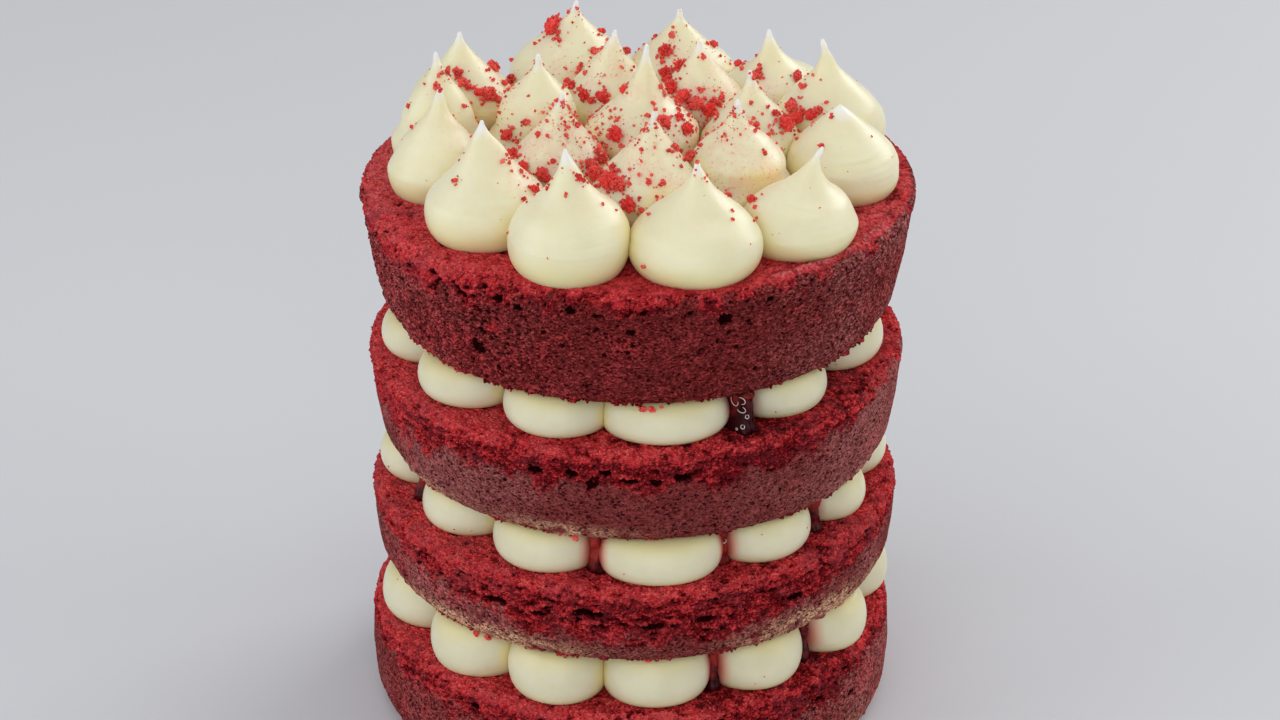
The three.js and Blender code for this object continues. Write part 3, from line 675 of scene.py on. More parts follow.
def sponge_profile(layer, rim_round):
    """The layer's outline from under its middle to over it: a flat foot, a quarter ellipse, the
    leaning side, a quarter ellipse at the rim and the flat top. Gives radii and heights."""
    height = layer["top"] - layer["bottom"]
    rows = round((height - FOOT_ROUND - RIM_ROUND) / SPONGE_ROW)
    foot_in, rim_in = layer["foot_r"] - FOOT_ROUND_IN, layer["rim_r"] - rim_round * RIM_ROUND_IN
    foot = np.linspace(0, math.pi / 2, 14, endpoint=False)
    side = np.linspace(FOOT_ROUND, height - rim_round, rows, endpoint=False)
    rim = np.linspace(0, math.pi / 2, 13, endpoint=False)
    flat = np.concatenate([np.linspace(rim_in, OPEN_TOP_R, 16, endpoint=False),
                           np.linspace(OPEN_TOP_R, COVERED_R, 10), [30, 12]])
    radii = [[15, 45, 60], foot_in - np.array([1.0, 0.5]), foot_in + FOOT_ROUND_IN * np.sin(foot),
             side_radius(layer, side / height),
             layer["rim_r"] - rim_round * RIM_ROUND_IN * (1 - np.cos(rim)), flat]
    levels = [[0] * 3, [0] * 2, FOOT_ROUND * (1 - np.cos(foot)), side,
              height - rim_round + rim_round * np.sin(rim), np.full(len(flat), height)]
    return np.concatenate(radii), np.concatenate(levels)


def at_angles(angle, values):
    """Values given at ANGLES, for any angles."""
    return np.interp(np.degrees(angle), ANGLES, values)


def holes(points, seed, pitch, share, smallest, largest, first_seed):
    """Pores of one kind: pitch cells in a mm, a share of which hold one."""
    return pores(points * pitch, first_seed + seed, share, smallest, largest)


def sponge_noise(place, index):
    """The noises that a layer's relief and colours share: broad, small and stretched flat, and how
    round grains cover it."""
    broad = layered_noise(place * 0.16, 40 + index, 4)
    small = layered_noise(place * 1.6, 70 + index, 2)
    crags = layered_noise(place * CRAG_PITCH, 60 + index, 4, 0.6)
    return broad, small, crags, holes(place, index, *GRAINS)


def sponge_relief(place, angle, level, radius, layer, index):
    """How far the crumb stands out from the smooth layer, in mm, and the numbers for its colours.
    Torn crumb is flat crags with round grains on them, less caves, gaps and fine holes, most where
    it meets the crust. Crust is fainter crags less fine holes and round pores, with a ragged upper
    edge and foot. Skin is broad low noise. The large pores are ellipses, and the top layer's lip is
    a bell-shaped ridge with a groove inside it."""
    is_top = float(layer is TOP_SPONGE)
    height = layer["top"] - layer["bottom"]
    degrees = np.degrees(angle)
    near_top = ease(height - 4.5, height - 0.8, level)
    on_top = ease(height - 0.6, height - 0.05, level)
    side = 1 - on_top
    broken = is_top * between(degrees, *BROKEN)
    broken_high = broken * ease(height * 0.35, height * 0.8, level)
    opened = is_top * (0.3 + 0.6 * between(degrees, *OPEN))
    broad, small, crags, grains = sponge_noise(place, index)

    above = level / height - at_angles(angle, CRUST_TOP[index])
    above = above + broad * layer["wavy"] + layered_noise(place * 0.5, 50 + index, 3) * layer["ragged"]
    foot = ease(-0.2, 0.25, layered_noise(place * 0.35, 44 + index, 3)) * ease(2.8, 0.5, level)
    skin = is_top * on_top * at_angles(angle, SKIN) * ease(-0.5, 0.1, broad + 0.1)
    crust = ease(0.03, -0.03, above) * side * (1 - foot)
    torn = (1 - crust) * (1 - skin)
    edge = np.exp(-(above / 0.055) ** 2) * side

    cave_share = layer["caves"] * (1 - 0.6 * near_top * broken - near_top * (1 - broken)) + edge
    gap_share = 0.45 + 0.55 * np.clip(1 - near_top + edge, 0, 1)
    caves, gaps, fine = (holes(place * FLAT, index, *HOLES[kind]) for kind in ("caves", "gaps", "fine"))
    caves, gaps = caves * np.clip(cave_share, 0, 1), gaps * gap_share
    pitch, smallest, largest, seed = ROUND_PORES
    specks = holes(place, index, pitch, layer["holed"], smallest, largest, seed)

    rough = CRAG_OUT + 0.6 * is_top * np.maximum(at_angles(angle, SOFT_RIM), 0)
    torn_out = (rough * crags + GRAIN_OUT * (grains - 0.5) + SMALL_OUT * small
                - CAVE_IN * caves ** 0.7 - GAP_IN * gaps ** 0.8 - FINE_IN * fine - 0.1)
    crust_out = ((0.16 + 0.5 * broken) * crags + (0.06 + 0.2 * broken) * small
                 - (0.42 + 0.6 * broken) * fine ** 0.8 - ROUND_IN * specks ** 0.7
                 - 1.6 * broken_high * caves ** 0.7 - 0.9 * opened * gaps ** 0.8)
    skin_out = 0.30 * broad + 0.06 * small - 0.5 * specks
    out = torn * torn_out + crust * crust_out + skin * skin_out + layer["crumbly"] * foot * (0.4 + grains)
    # How deep the caves, gaps, fine holes, crag hollows and pores are, for the painted shade inside them.
    torn_pit = 1.1 * caves + 0.8 * gaps + 0.5 * ease(0.0, -0.6, crags)
    crust_pit = (0.5 + 0.4 * broken) * fine + 1.2 * specks + 1.2 * broken_high * caves + opened * gaps
    pit = torn * torn_pit + crust * crust_pit
    for at, high, wide, tall in PORES[index]:
        turn = (angle - math.radians(at) + math.pi) % TURN - math.pi
        away = (turn * layer["mid_r"] / (wide / 2)) ** 2 + ((level - high) / (tall / 2)) ** 2
        hole = np.clip(1 - away * (1 + 0.6 * small + 0.3 * crags), 0, 1) ** 0.5 * side
        out -= PORE_IN * hole
        pit += 1.4 * hole

    lip = is_top * between(degrees, *LIFTED) * (0.75 + 0.7 * broad) * on_top
    edge_place = np.stack([degrees * 0.14, 0 * degrees, 0 * degrees], -1)
    from_edge = radius - (LIP_R + 1.2 * layered_noise(edge_place, 160, 3))
    ridge, groove = np.exp(-(from_edge / 0.7) ** 2), np.exp(-((from_edge + 2.2) / 1.1) ** 2)
    out += lip * (0.9 * ridge - 0.8 * groove + 0.3 * small)
    torn_lip = 0.8 * ease(0.0, 0.35, small) * ease(-1, 1, from_edge)

    numbers = {
        "crust": ease(0.11, -0.11, above) * side * (1 - foot),
        "pit": pit,
        # Mauve bloom with painted sheen, strongest at the left and right sides.
        "bloom": at_angles(angle, BLOOM_AND_SHEEN[index]) * (1 + 0.8 * layered_noise(place * 0.09, 140 + index, 3)),
        "fresh": at_angles(angle, FRESH[index]) * (1 + 0.6 * broad),
        "tan": tan_patches(place, degrees, level, index) * side * (0.3 + 0.7 * crust),
        "skin": skin,
        # How light the crumb is painted, as painted light and shade.
        "glow": sponge_painted_light(degrees, radius, near_top, on_top, crags, grains, layer),
        "coarse": np.full(level.shape, layer["coarse"]),
        # Painted sheen on the lifted lip and on the far left rim.
        "lip": np.maximum(lip * np.maximum(ridge, torn_lip), is_top * 0.4 * on_top * between(degrees, *RIM_SHEEN)),
    }
    return out, {key: np.clip(values, 0, 1) for key, values in numbers.items()}


def tan_patches(place, degrees, level, index):
    """How tan the crust is: a bell across each patch that fades upwards, broken up by noise."""
    tan = 0
    for at, half, tall, strength in TAN[index]:
        away = ((degrees - at + 180) % 360 - 180) / half
        tan = tan + strength * np.exp(-away ** 2) * ease(tall, 0.2 * tall, level)
    return tan * ease(-0.5, 0.25, layered_noise(place * 0.3, 150 + index, 3))


def sponge_painted_light(degrees, radius, near_top, on_top, crags, grains, layer):
    """How light the crumb is painted, as painted light and shade: lighter on its crags and grains,
    towards the top and at the left, darker in its hollows, low on its side and at the right, and as
    much more as the layer's own table says."""
    side = 1 - on_top
    is_top = float(layer is TOP_SPONGE)
    glow = (0.44 + 0.85 * crags + 0.45 * (grains - 0.45) + 0.38 * near_top - 0.10 * (1 - near_top)
            + (0.2 + 0.12 * on_top + 0.36 * is_top * side) * between(degrees, *LIT))
    glow -= layer["right_shade"] * between(degrees, *SHADED) * ease(76, 72, radius)
    front = layer["front_light"] * np.exp(-((degrees - 2) / 30) ** 2)
    return glow + (layer["side_light"] + front) * side + layer["light"]


def make_sponge(index, materials):
    """One sponge layer: its profile, between a sharp and a soft rim, carried round the cake with a
    slight wave, columns closest in front, then pushed out along the profile's outward direction by
    the relief. Close rows follow the side and the open part of the top."""
    layer = SPONGES[index]
    sharp, soft = sponge_profile(layer, RIM_ROUND), sponge_profile(layer, SOFT_RIM_ROUND)
    columns = SPONGE_FACES // (2 * len(sharp[0]))
    angle = np.linspace(-math.pi, math.pi, columns, endpoint=False)
    angle = angle - 0.33 * np.sin(angle)
    blend = at_angles(angle, SOFT_RIM) * (1.0 if layer is TOP_SPONGE else 0.35)
    radius, level = (a[:, None] + (b - a)[:, None] * blend for a, b in zip(sharp, soft))
    radius = radius + 0.35 * round_wave(angle, 11 + index) * ease(0, 60, radius)
    turn = np.repeat(angle[None, :], len(radius), axis=0)
    radius_step, level_step = np.gradient(radius, axis=0), np.gradient(level, axis=0)
    length = np.hypot(radius_step, level_step) + 1e-9
    place = around(radius, turn, level + layer["bottom"]).reshape(-1, 3)
    out, numbers = sponge_relief(place, turn.ravel(), level.ravel(), radius.ravel(), layer, index)
    shows = ease(24, 56, radius) * ease(-0.2, 0.6, level)
    out = out.reshape(radius.shape) * shows
    rows = around(radius + out * level_step / length, turn,
                  layer["bottom"] + level - out * radius_step / length, layer["x"])
    rows[..., 2] = np.maximum(rows[..., 2], layer["bottom"])
    points, quads, fans = closed_grid(rows, (layer["x"], 0, layer["bottom"]), (layer["x"], 0, layer["top"]))
    carried = {key: np.append(values, [values[0], values[-1]]) for key, values in numbers.items()}
    piece = make_piece(f"red_sponge_{index + 1}", points, quads, fans, carried)
    return dress(piece, materials["sponge"], "sponge", f"sponge_layer_{index + 1}")


def dress(piece, material, slot, *nodes):
    """Gives a piece its material, sets it on the cake and hides the nodes it stands for. Its slot is not
    used.
    """
    piece.data.materials.append(material)
    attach(piece, "root")
    if nodes:
        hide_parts(*nodes)
    return piece


def blobs_of(ring):
    """The blobs of a ring in order: middle angle, width, how much further out it comes, and the
    angles where it meets its neighbours, which share the space between by their widths."""
    front = [(math.radians(degrees), width, more) for degrees, width, more in ring["front"]]
    step = (front[0][0] + TURN - front[-1][0]) / (ring["rear"] + 1)
    rear = [(front[-1][0] + step * (count + 1), ring["rear_width"], 0) for count in range(ring["rear"])]
    blobs = front + rear
    joins = []
    for index, (angle, width, _) in enumerate(blobs):
        after, wide, _ = blobs[(index + 1) % len(blobs)]
        after += TURN if index + 1 == len(blobs) else 0
        joins.append(angle + (after - angle) * width / (width + wide))
    return [(angle, width, more, joins[index - 1] - (TURN if index == 0 else 0), joins[index])
            for index, (angle, width, more) in enumerate(blobs)]


def held_in(points, normals, offsets, softness):
    """Points moved back behind flat planes: each plane takes a soft share of what lies beyond it."""
    held = points.copy()
    for normal, offset in zip(normals, offsets):
        beyond = held @ normal - offset
        over = softness * np.logaddexp(0, beyond / softness)
        over = np.where(beyond < -4 * softness, 0, over)
        held = held - over[:, None] * normal
    return held


def make_blob(ring, blob, number):
    """One piped blob: in plan an ellipse with a faint wave, from layer to layer two quarter ellipses
    that bulge in between, held flat against its neighbours. Its numbers are how stained it is near
    jam, how near a neighbour it is, for painted shade in the seams, and how near the sponge, for
    painted shade under and over it."""
    floor, ceiling = SPONGES[ring["under"]]["top"], SPONGES[ring["under"] + 1]["bottom"]
    angle, width, more, start, end = blob
    draw = np.random.default_rng(900 + 31 * ring["under"] + number)
    middle = ring["reach"] + more - BLOB_DEPTH + draw.uniform(-0.8, 0.5)
    turn = np.linspace(0, TURN, BLOB_GRID[1], endpoint=False)
    share = np.linspace(0, 1, BLOB_GRID[0])
    belt = 0.42 + draw.uniform(-0.05, 0.05)
    off_belt = np.where(share < belt, (belt - share) / belt, (share - belt) / (1 - belt))
    inward = np.where(share < belt, 3.6, 5.4) * (1 - np.sqrt(np.clip(1 - off_belt ** 2, 0, 1)))
    wave = 1 + 0.02 * round_wave(turn, 300 + number + 20 * ring["under"], (2, 3, 4))
    across = (width / 2 + 0.3 - inward[:, None]) * np.sin(turn)[None, :] * wave
    deep = (BLOB_DEPTH - inward[:, None]) * np.cos(turn)[None, :] * wave
    level = floor - BLOB_SINK + (ceiling - floor + 2 * BLOB_SINK) * share
    sin, cos = math.sin(angle), math.cos(angle)
    x = ring["x"] + (middle + deep) * sin + across * cos
    y = -(middle + deep) * cos + across * sin
    rows = np.stack([x, y, np.repeat(level[:, None], len(turn), axis=1)], -1)
    flat = rows.reshape(-1, 3)
    normals = [np.array([-math.cos(start), -math.sin(start), 0]), np.array([math.cos(end), math.sin(end), 0])]
    offsets = [normal @ np.array([ring["x"], 0, 0]) + BLOB_PRESS for normal in normals]
    flat = held_in(flat, normals, offsets, 0.35)
    seams = [np.clip(1 + (flat @ normal - offset) / 3, 0, 1) for normal, offset in zip(normals, offsets)]
    rows = flat.reshape(rows.shape)
    centre = rows.mean(axis=1)
    points, quads, fans = closed_grid(rows, centre[0], centre[-1])
    seam = np.append(np.maximum(*seams), [0, 0])
    near = np.repeat(np.maximum(ease(0.6, 1.0, share), ease(0.35, 0.0, share)), len(turn))
    return points, quads, fans, np.append(stained(flat, ring), [0, 0]), seam, np.append(near, [1, 1])


def stained(points, ring):
    """How far jam has stained the cream: all of it at a place where jam comes out, and less with the
    distance to either side of it."""
    stain = np.zeros(len(points))
    for degrees, _, wide in ring["jam"]:
        sin, cos = math.sin(math.radians(degrees)), math.cos(math.radians(degrees))
        x, y = points[:, 0] - ring["x"], points[:, 1]
        away = np.abs(x * cos + y * sin)
        facing = x * sin - y * cos > 20
        stain = np.maximum(stain, np.where(facing, np.clip(1.25 - away / (wide * 0.66), 0, 1), 0))
    return stain


def joined(parts):
    """Several meshes as one: their points one after another and their faces counted on."""
    points, quads, fans, numbers = [], [], [], []
    offset = 0
    for part_points, part_quads, part_fans, *carried in parts:
        points.append(part_points)
        quads.append(np.asarray(part_quads).reshape(-1, 4) + offset)
        fans.append(np.asarray(part_fans).reshape(-1, 3) + offset)
        numbers.append(carried)
        offset += len(part_points)
    carried = [np.concatenate(values) for values in zip(*numbers)]
    return np.concatenate(points), np.concatenate(quads), np.concatenate(fans), carried


def make_ring(index, materials):
    """A ring of blobs, joined as one piece."""
    ring = RINGS[index]
    parts = [make_blob(ring, blob, number) for number, blob in enumerate(blobs_of(ring))]
    points, quads, fans, (stain, seam, low) = joined(parts)
    carried = {"stain": stain, "seam": seam, "low": low, "tip": np.zeros(len(points)),
               "dust": np.zeros(len(points))}
    piece = make_piece(f"piped_ring_{index + 1}", points, quads, fans, carried)
    return dress(piece, materials["filling"], "cream", f"cream_ring_{index + 1}")


def make_jam(index, materials):
    """The jam in a ring: a disc whose radius rises in a smooth hump at each place where it comes
    out, wider and further out at its foot and hollow half way up, with a slightly uneven skin. It
    is thinnest at its top."""
    ring = RINGS[index]
    floor, ceiling = SPONGES[ring["under"]]["top"], SPONGES[ring["under"] + 1]["bottom"]
    angle = np.linspace(-math.pi, math.pi, JAM_GRID[1], endpoint=False)
    share = np.linspace(0, 1, JAM_GRID[0])
    grid_angle, up = np.meshgrid(angle, share)
    radius = np.full(grid_angle.shape, JAM_R)
    for degrees, reach, width in ring["jam"]:
        gap = (grid_angle - math.radians(degrees) + math.pi) % TURN - math.pi
        foot = np.exp(-(up / 0.22) ** 2)
        wide = (width / 2 + 1.2) * (1 + 0.25 * foot)
        hump = np.exp(-((gap * reach / wide) ** 2) ** 1.6)
        radius += (reach + JAM_ROUNDING - JAM_R - JAM_ROUNDING * np.sin(math.pi * up) + 0.6 * foot) * hump
    rows = around(radius, grid_angle, floor + (ceiling - floor) * up, ring["x"])
    bumps = layered_noise(rows.reshape(-1, 3) * 0.45, 500 + index, 3).reshape(radius.shape)
    rows = around(radius + 1.3 * bumps, grid_angle, floor + (ceiling - floor) * up, ring["x"])
    points, quads, fans = closed_grid(rows, (ring["x"], 0, floor), (ring["x"], 0, ceiling))
    thin_foot, thinner = ring["thin"]
    thin = np.append(thin_foot + thinner * ease(0.0, 0.9, up.ravel()), [0, 1])
    piece = make_piece(f"red_jam_{index + 1}", points, quads, fans, {"thin": thin})
    return dress(piece, materials["jam"], "jam", f"jam_{index + 1}")


def kiss_planes(name):
    """Where a kiss meets each neighbour: the plane halfway between, weighted by their widths."""
    x, y, width = KISSES[name][:3]
    normals, offsets = [], []
    for other, (there_x, there_y, wide, *_) in KISSES.items():
        if other != name:
            gap = np.array([there_x - x, there_y - y, 0.0])
            distance = np.linalg.norm(gap)
            normals.append(gap / distance)
            share = distance / 2 + (width - wide) / 4
            offsets.append(normals[-1] @ np.array([x, y, 0.0]) + share - KISS_GAP / 2)
    return normals, offsets


def dusted(points):
    """How pink the crumbs have tinted the cream: most in the valleys near the middle, in patches."""
    away = np.hypot(points[:, 0] - TOP_SPONGE["x"] - 1, points[:, 1] - 2)
    low = ease(TOP_SPONGE["top"] + 27, TOP_SPONGE["top"] + 10, points[:, 2])
    patches = ease(-0.35, 0.3, layered_noise(points * 0.13, 178, 3))
    return 0.6 * ease(66, 34, away) * (0.5 + 0.5 * low) * patches


def kiss_outline(share, width, widths):
    """A kiss's radius as a share of half its width: from the foot a sine up to the belt, then a
    smooth curve through its widths, and no thinner than its tip, which ends round."""
    low = KISS_FOOT + (1 - KISS_FOOT) * np.sin(math.pi / 2 * np.clip(share / KISS_BELT, 0, 1)) ** 0.7
    high = smooth_curve(np.maximum(share, KISS_BELT), np.array(KISS_SHARES), np.array([1, *widths, 0]))
    tip = 2 * KISS_TIP_R / width * np.sqrt(np.clip((1 - share) * 15, 0, 1))
    return np.maximum(np.where(share < KISS_BELT, low, high), tip)


def make_kiss(name, number, materials):
    """One kiss: its outline carried round with a slight wave, faint rings from the nozzle, soft
    folds that are bells across and up, a lean, a bent tip and flat sides at its neighbours. Its
    numbers are how near its tip it is, for painted light in the thin tip, how near its neighbours,
    for painted shade in the seams, how near the sponge, for painted shade at its foot, and how
    dusted it is."""
    x, y, width, height, lean_x, lean_y, *widths = KISSES[name]
    draw = np.random.default_rng(600 + number)
    share = np.concatenate([spread(0, KISS_BELT, KISS_ROWS[0]), spread(KISS_BELT, 1, KISS_ROWS[1])])
    turn = np.linspace(0, TURN, KISS_COLUMNS, endpoint=False)
    outline = kiss_outline(share, width, widths)
    grid_turn, grid_share = np.meshgrid(turn, share)
    wave = 0.022 * round_wave(grid_turn + 1.2 * grid_share, 700 + number, (1, 2, 3, 5))
    drift = layered_noise(np.stack([np.cos(grid_turn) * 1.3, np.sin(grid_turn) * 1.3, grid_share * 3], -1)
                          .reshape(-1, 3) + number * 7.7, 720, 3).reshape(grid_turn.shape)
    rings = np.sin(grid_share * height * TURN / draw.uniform(1.7, 2.6) + 2 * drift)
    lines = ease(0.14, 0.3, grid_share) * ease(0.62, 0.4, grid_share) * ease(0.1, 0.6, drift + 0.1)
    radius = width / 2 * (outline[:, None] * (1 + wave + 0.02 * drift)) + 0.04 * rings * lines
    for at, rise, half, tall, out, slope in FOLDS.get(name, []):
        away = (np.degrees(grid_turn) - at + 180) % 360 - 180
        up = (grid_share - rise - slope * away / 90 + 0.012 * drift) / tall
        radius += out * np.exp(-(away / half) ** 2 - up ** 2)
    bend = draw.uniform(-1, 1, 2) * 0.8 * ease(0.8, 1, share)[:, None]
    px = x + lean_x * share[:, None] ** 2 + bend[:, :1] + radius * np.sin(grid_turn)
    py = y + lean_y * share[:, None] ** 2 + bend[:, 1:] - radius * np.cos(grid_turn)
    rows = np.stack([px, py, -KISS_SINK + (height + KISS_SINK) * grid_share], -1)
    flat = rows.reshape(-1, 3)
    normals, offsets = kiss_planes(name)
    near = [pair for pair in zip(normals, offsets) if (flat @ pair[0]).max() > pair[1] - 2]
    seam = np.zeros(len(flat))
    for normal, offset in near:
        seam = np.maximum(seam, np.clip(1 + (flat @ normal - offset) / 4.5, 0, 1) ** 1.5)
    if near:
        flat = held_in(flat, *zip(*near), 0.3)
    rows = (flat + np.array([TOP_SPONGE["x"], 0, TOP_SPONGE["top"]])).reshape(rows.shape)
    points, quads, fans = closed_grid(rows, rows[0].mean(axis=0), rows[-1].mean(axis=0))
    carried = {
        "tip": np.append(ease(0.82, 0.97, grid_share.ravel()), [0, 1]),
        "stain": np.zeros(len(points)),
        "dust": dusted(points),
        "seam": np.append(seam, [0, 0]),
        "low": np.append(ease(0.34, 0.05, grid_share.ravel()), [1, 0]),
    }
    piece = make_piece(name.replace("kiss", "cream_kiss"), points, quads, fans, carried)
    return dress(piece, materials["cream"], "cream", name)


# Crumbs that can be told apart in the photograph: column and row in its pixels, then the crumb's
# width and height in mm.
NAMED_CRUMBS = [
    (553, 27, 4.4, 7.5), (496, 63, 4.0, 3.2), (511, 79, 2.6, 3.2), (456, 73, 3.4, 2.4),
    (463, 82, 3.2, 2.6), (488, 95, 4.6, 3.6), (497, 100, 2.6, 2.0), (601, 97, 2.6, 5.0),
    (623, 90, 2.0, 2.8), (583, 95, 4.0, 3.0), (572, 86, 3.0, 2.6), (566, 81, 2.2, 1.8),
    (507, 135, 3.8, 3.2), (526, 123, 2.0, 2.3), (617, 134, 3.8, 5.0), (666, 51, 3.8, 3.8),
    (680, 65, 3.8, 2.8), (664, 72, 3.6, 3.2), (672, 88, 4.2, 3.6), (683, 97, 4.6, 3.8),
    (696, 105, 4.6, 4.0), (708, 110, 4.4, 4.2), (737, 62, 2.8, 2.4), (757, 75, 3.0, 3.2),
    (798, 77, 5.4, 2.6), (793, 106, 3.6, 3.6), (785, 124, 4.6, 5.4), (798, 119, 4.0, 3.0),
    (810, 115, 3.4, 2.6), (818, 110, 2.4, 2.4), (757, 125, 2.8, 1.8), (663, 121, 4.0, 3.2),
    (687, 130, 3.6, 3.2), (679, 117, 2.4, 2.4), (692, 155, 3.6, 3.2), (590, 166, 3.6, 3.8),
    (597, 175, 4.6, 4.6), (610, 181, 6.4, 5.0), (620, 186, 4.6, 3.8), (602, 160, 3.4, 3.0),
    (630, 206, 4.6, 3.6), (513, 155, 4.2, 3.6), (525, 168, 3.8, 3.2), (541, 173, 3.8, 3.0),
    (535, 190, 3.2, 2.2), (523, 200, 1.6, 1.6), (752, 199, 2.7, 2.5), (455, 180, 1.5, 2.4),
    (538, 134, 1.7, 1.6), (765, 153, 1.4, 1.6), (733, 219, 1.1, 1.1), (650, 183, 1.9, 1.7),
    (662, 182, 2.0, 1.6), (729, 194, 1.8, 1.5), (822, 145, 1.6, 1.6), (831, 116, 1.3, 1.4),
    (408, 106, 1.2, 1.8), (411, 126, 1.2, 1.4), (464, 106, 1.6, 1.4), (534, 43, 1.2, 1.2),
    (594, 50, 2.0, 2.6), (604, 30, 2.2, 1.8), (629, 49, 2.4, 2.2), (653, 34, 1.6, 1.4),
    (671, 35, 2.0, 2.2), (713, 44, 2.4, 2.2), (704, 56, 1.6, 1.8), (580, 69, 2.6, 1.6),
    (654, 103, 1.2, 1.8), (700, 145, 1.4, 1.4), (732, 210, 1.0, 1.0), (757, 219, 1.0, 0.9),
    (642, 268, 1.2, 0.7), (507, 233, 0.7, 0.8), (804, 86, 2.0, 1.6), (774, 112, 2.6, 1.8),
    (752, 102, 1.3, 1.3), (547, 135, 1.2, 1.2), (567, 134, 1.5, 1.2), (597, 152, 2.2, 2.0),
    (640, 150, 1.4, 1.2), (711, 101, 1.6, 1.6), (722, 98, 2.0, 1.6), (658, 196, 1.1, 1.0),
    (676, 148, 3.0, 2.0), (470, 88, 2.4, 2.0), (479, 92, 2.8, 2.2), (505, 84, 2.0, 2.0),
    (590, 100, 2.2, 2.0), (545, 178, 2.6, 2.0), (612, 168, 2.6, 2.0), (600, 148, 2.0, 1.8),
    (667, 80, 2.8, 2.4), (718, 103, 2.4, 1.8), (803, 112, 2.6, 2.0), (580, 177, 2.4, 1.8),
    (552, 161, 1.8, 1.6), (448, 72, 2.4, 1.8), (436, 85, 2.8, 1.8),
]
# Crumbs that lie on the cream between the layers, in the same way.
RING_CRUMBS = [
    (643, 409, 2.2, 1.5), (650, 410, 1.8, 1.5), (659, 406, 1.0, 1.0), (670, 402, 0.9, 0.8),
    (448, 358, 0.8, 0.6), (553, 397, 0.7, 0.6), (476, 634, 1.6, 1.4), (490, 637, 1.8, 1.4),
    (499, 636, 1.6, 1.6), (646, 657, 2.2, 1.0), (537, 529, 1.2, 1.0), (560, 531, 2.0, 1.2),
    (576, 535, 2.6, 1.6),
]

# How many pixels of the photograph a mm is, how far grains lie from their crumb as a share of its
# size, a crumb's core as a share of it, from which width it is a large one, and how far a crumb's
# middle stands out as a share of its thickness.
PIXELS_IN_MM = 3.7
GRAIN_SPREAD = 0.42
CORE_SHARE = 0.84
LARGE_CRUMB = 2.2
CRUMB_OUT = 0.22
# Where fine crumbs are strewn: the middle off the top layer's, the radius where they thin out and
# how high they lie, in mm, and how many lie on the rings.
STREWN_MIDDLE = (4, 6)
STREWN_R = 34
STREWN_HEIGHT = 28
RING_SPECKS = 90

# Bubble rims on the jam: column and row in the photograph, radius in mm, and where the arc starts
# and how far it goes, in degrees clockwise from the top.
BUBBLES = [
    (736, 400, 1.45, 80, 215), (741.5, 400, 1.25, -20, 200), (742, 409, 1.1, 20, 250),
    (747, 417, 0.5, 0, 350), (743, 427, 0.55, 20, 330), (737, 429, 0.28, 0, 340),
    (602, 545, 0.45, -40, 170), (724, 541, 0.6, 30, 250), (706, 652, 0.5, -60, 180),
]


def camera_frame():
    """The camera's place and its right, up and backward directions, in mm."""
    high = math.radians(CAMERA_ELEVATION)
    back = np.array([0, -math.cos(high), math.sin(high)])
    right = np.array([1.0, 0, 0])
    return np.array(CAMERA_TARGET) + CAMERA_DISTANCE * back, right, np.cross(back, right), back


def seen_at(points):
    """Pixel column and row of points in the photograph, and how far off they are."""
    eye, right, up, back = camera_frame()
    away = points - eye
    depth = -(away @ back)
    focal = CAMERA_LENS / SENSOR_WIDTH * PHOTO_SIZE[0]
    column = PHOTO_SIZE[0] / 2 + focal * (away @ right) / depth
    row = PHOTO_SIZE[1] / 2 - focal * (away @ up) / depth
    return column, row, depth


def surface_of(names):
    """The points and outward directions of pieces, in mm, one after another."""
    points, normals = [], []
    for name in names:
        mesh = bpy.data.objects[name].data
        count = len(mesh.vertices)
        place, facing = np.empty(count * 3, np.float32), np.empty(count * 3, np.float32)
        mesh.vertices.foreach_get("co", place)
        mesh.vertex_normals.foreach_get("vector", facing)
        points.append(place.reshape(-1, 3) / MM)
        normals.append(facing.reshape(-1, 3))
    return np.concatenate(points).astype(float), np.concatenate(normals).astype(float)


def spots_seen(points, normals, spots):
    """For each pixel, the nearest point to the camera among those that show within a pixel or so."""
    eye = camera_frame()[0]
    column, row, depth = seen_at(points)
    shows = np.sum(normals * (eye - points), axis=1) > 0
    found = []
    for spot in spots:
        away = np.hypot(column - spot[0], row - spot[1])
        near = away < max(1.6, away[shows].min() + 0.6)
        pick = np.where(near & shows, depth, np.inf)
        found.append(int(np.argmin(pick)))
    return np.array(found)


def ball(level):
    """A round ball of triangles: an icosahedron whose faces are split in four, level times."""
    golden = (1 + 5 ** 0.5) / 2
    corners = [(-1, golden, 0), (1, golden, 0), (-1, -golden, 0), (1, -golden, 0),
               (0, -1, golden), (0, 1, golden), (0, -1, -golden), (0, 1, -golden),
               (golden, 0, -1), (golden, 0, 1), (-golden, 0, -1), (-golden, 0, 1)]
    faces = np.array([(0, 11, 5), (0, 5, 1), (0, 1, 7), (0, 7, 10), (0, 10, 11), (1, 5, 9), (5, 11, 4),
                      (11, 10, 2), (10, 7, 6), (7, 1, 8), (3, 9, 4), (3, 4, 2), (3, 2, 6), (3, 6, 8),
                      (3, 8, 9), (4, 9, 5), (2, 4, 11), (6, 2, 10), (8, 6, 7), (9, 8, 1)])
    points = np.array(corners, float)
    points /= np.linalg.norm(points, axis=1)[:, None]
    for _ in range(level):
        edges = np.sort(np.concatenate([faces[:, pair] for pair in ([0, 1], [1, 2], [2, 0])]), axis=1)
        unique, where = np.unique(edges, axis=0, return_inverse=True)
        middle = points[unique].sum(axis=1)
        middle /= np.linalg.norm(middle, axis=1)[:, None]
        ab, bc, ca = (where.reshape(3, -1) + len(points))
        a, b, c = faces.T
        quarters = [(a, ab, ca), (ab, b, bc), (ca, bc, c), (ab, bc, ca)]
        faces = np.concatenate([np.stack(quarter, 1) for quarter in quarters])
        points = np.concatenate([points, middle])
    return points, faces


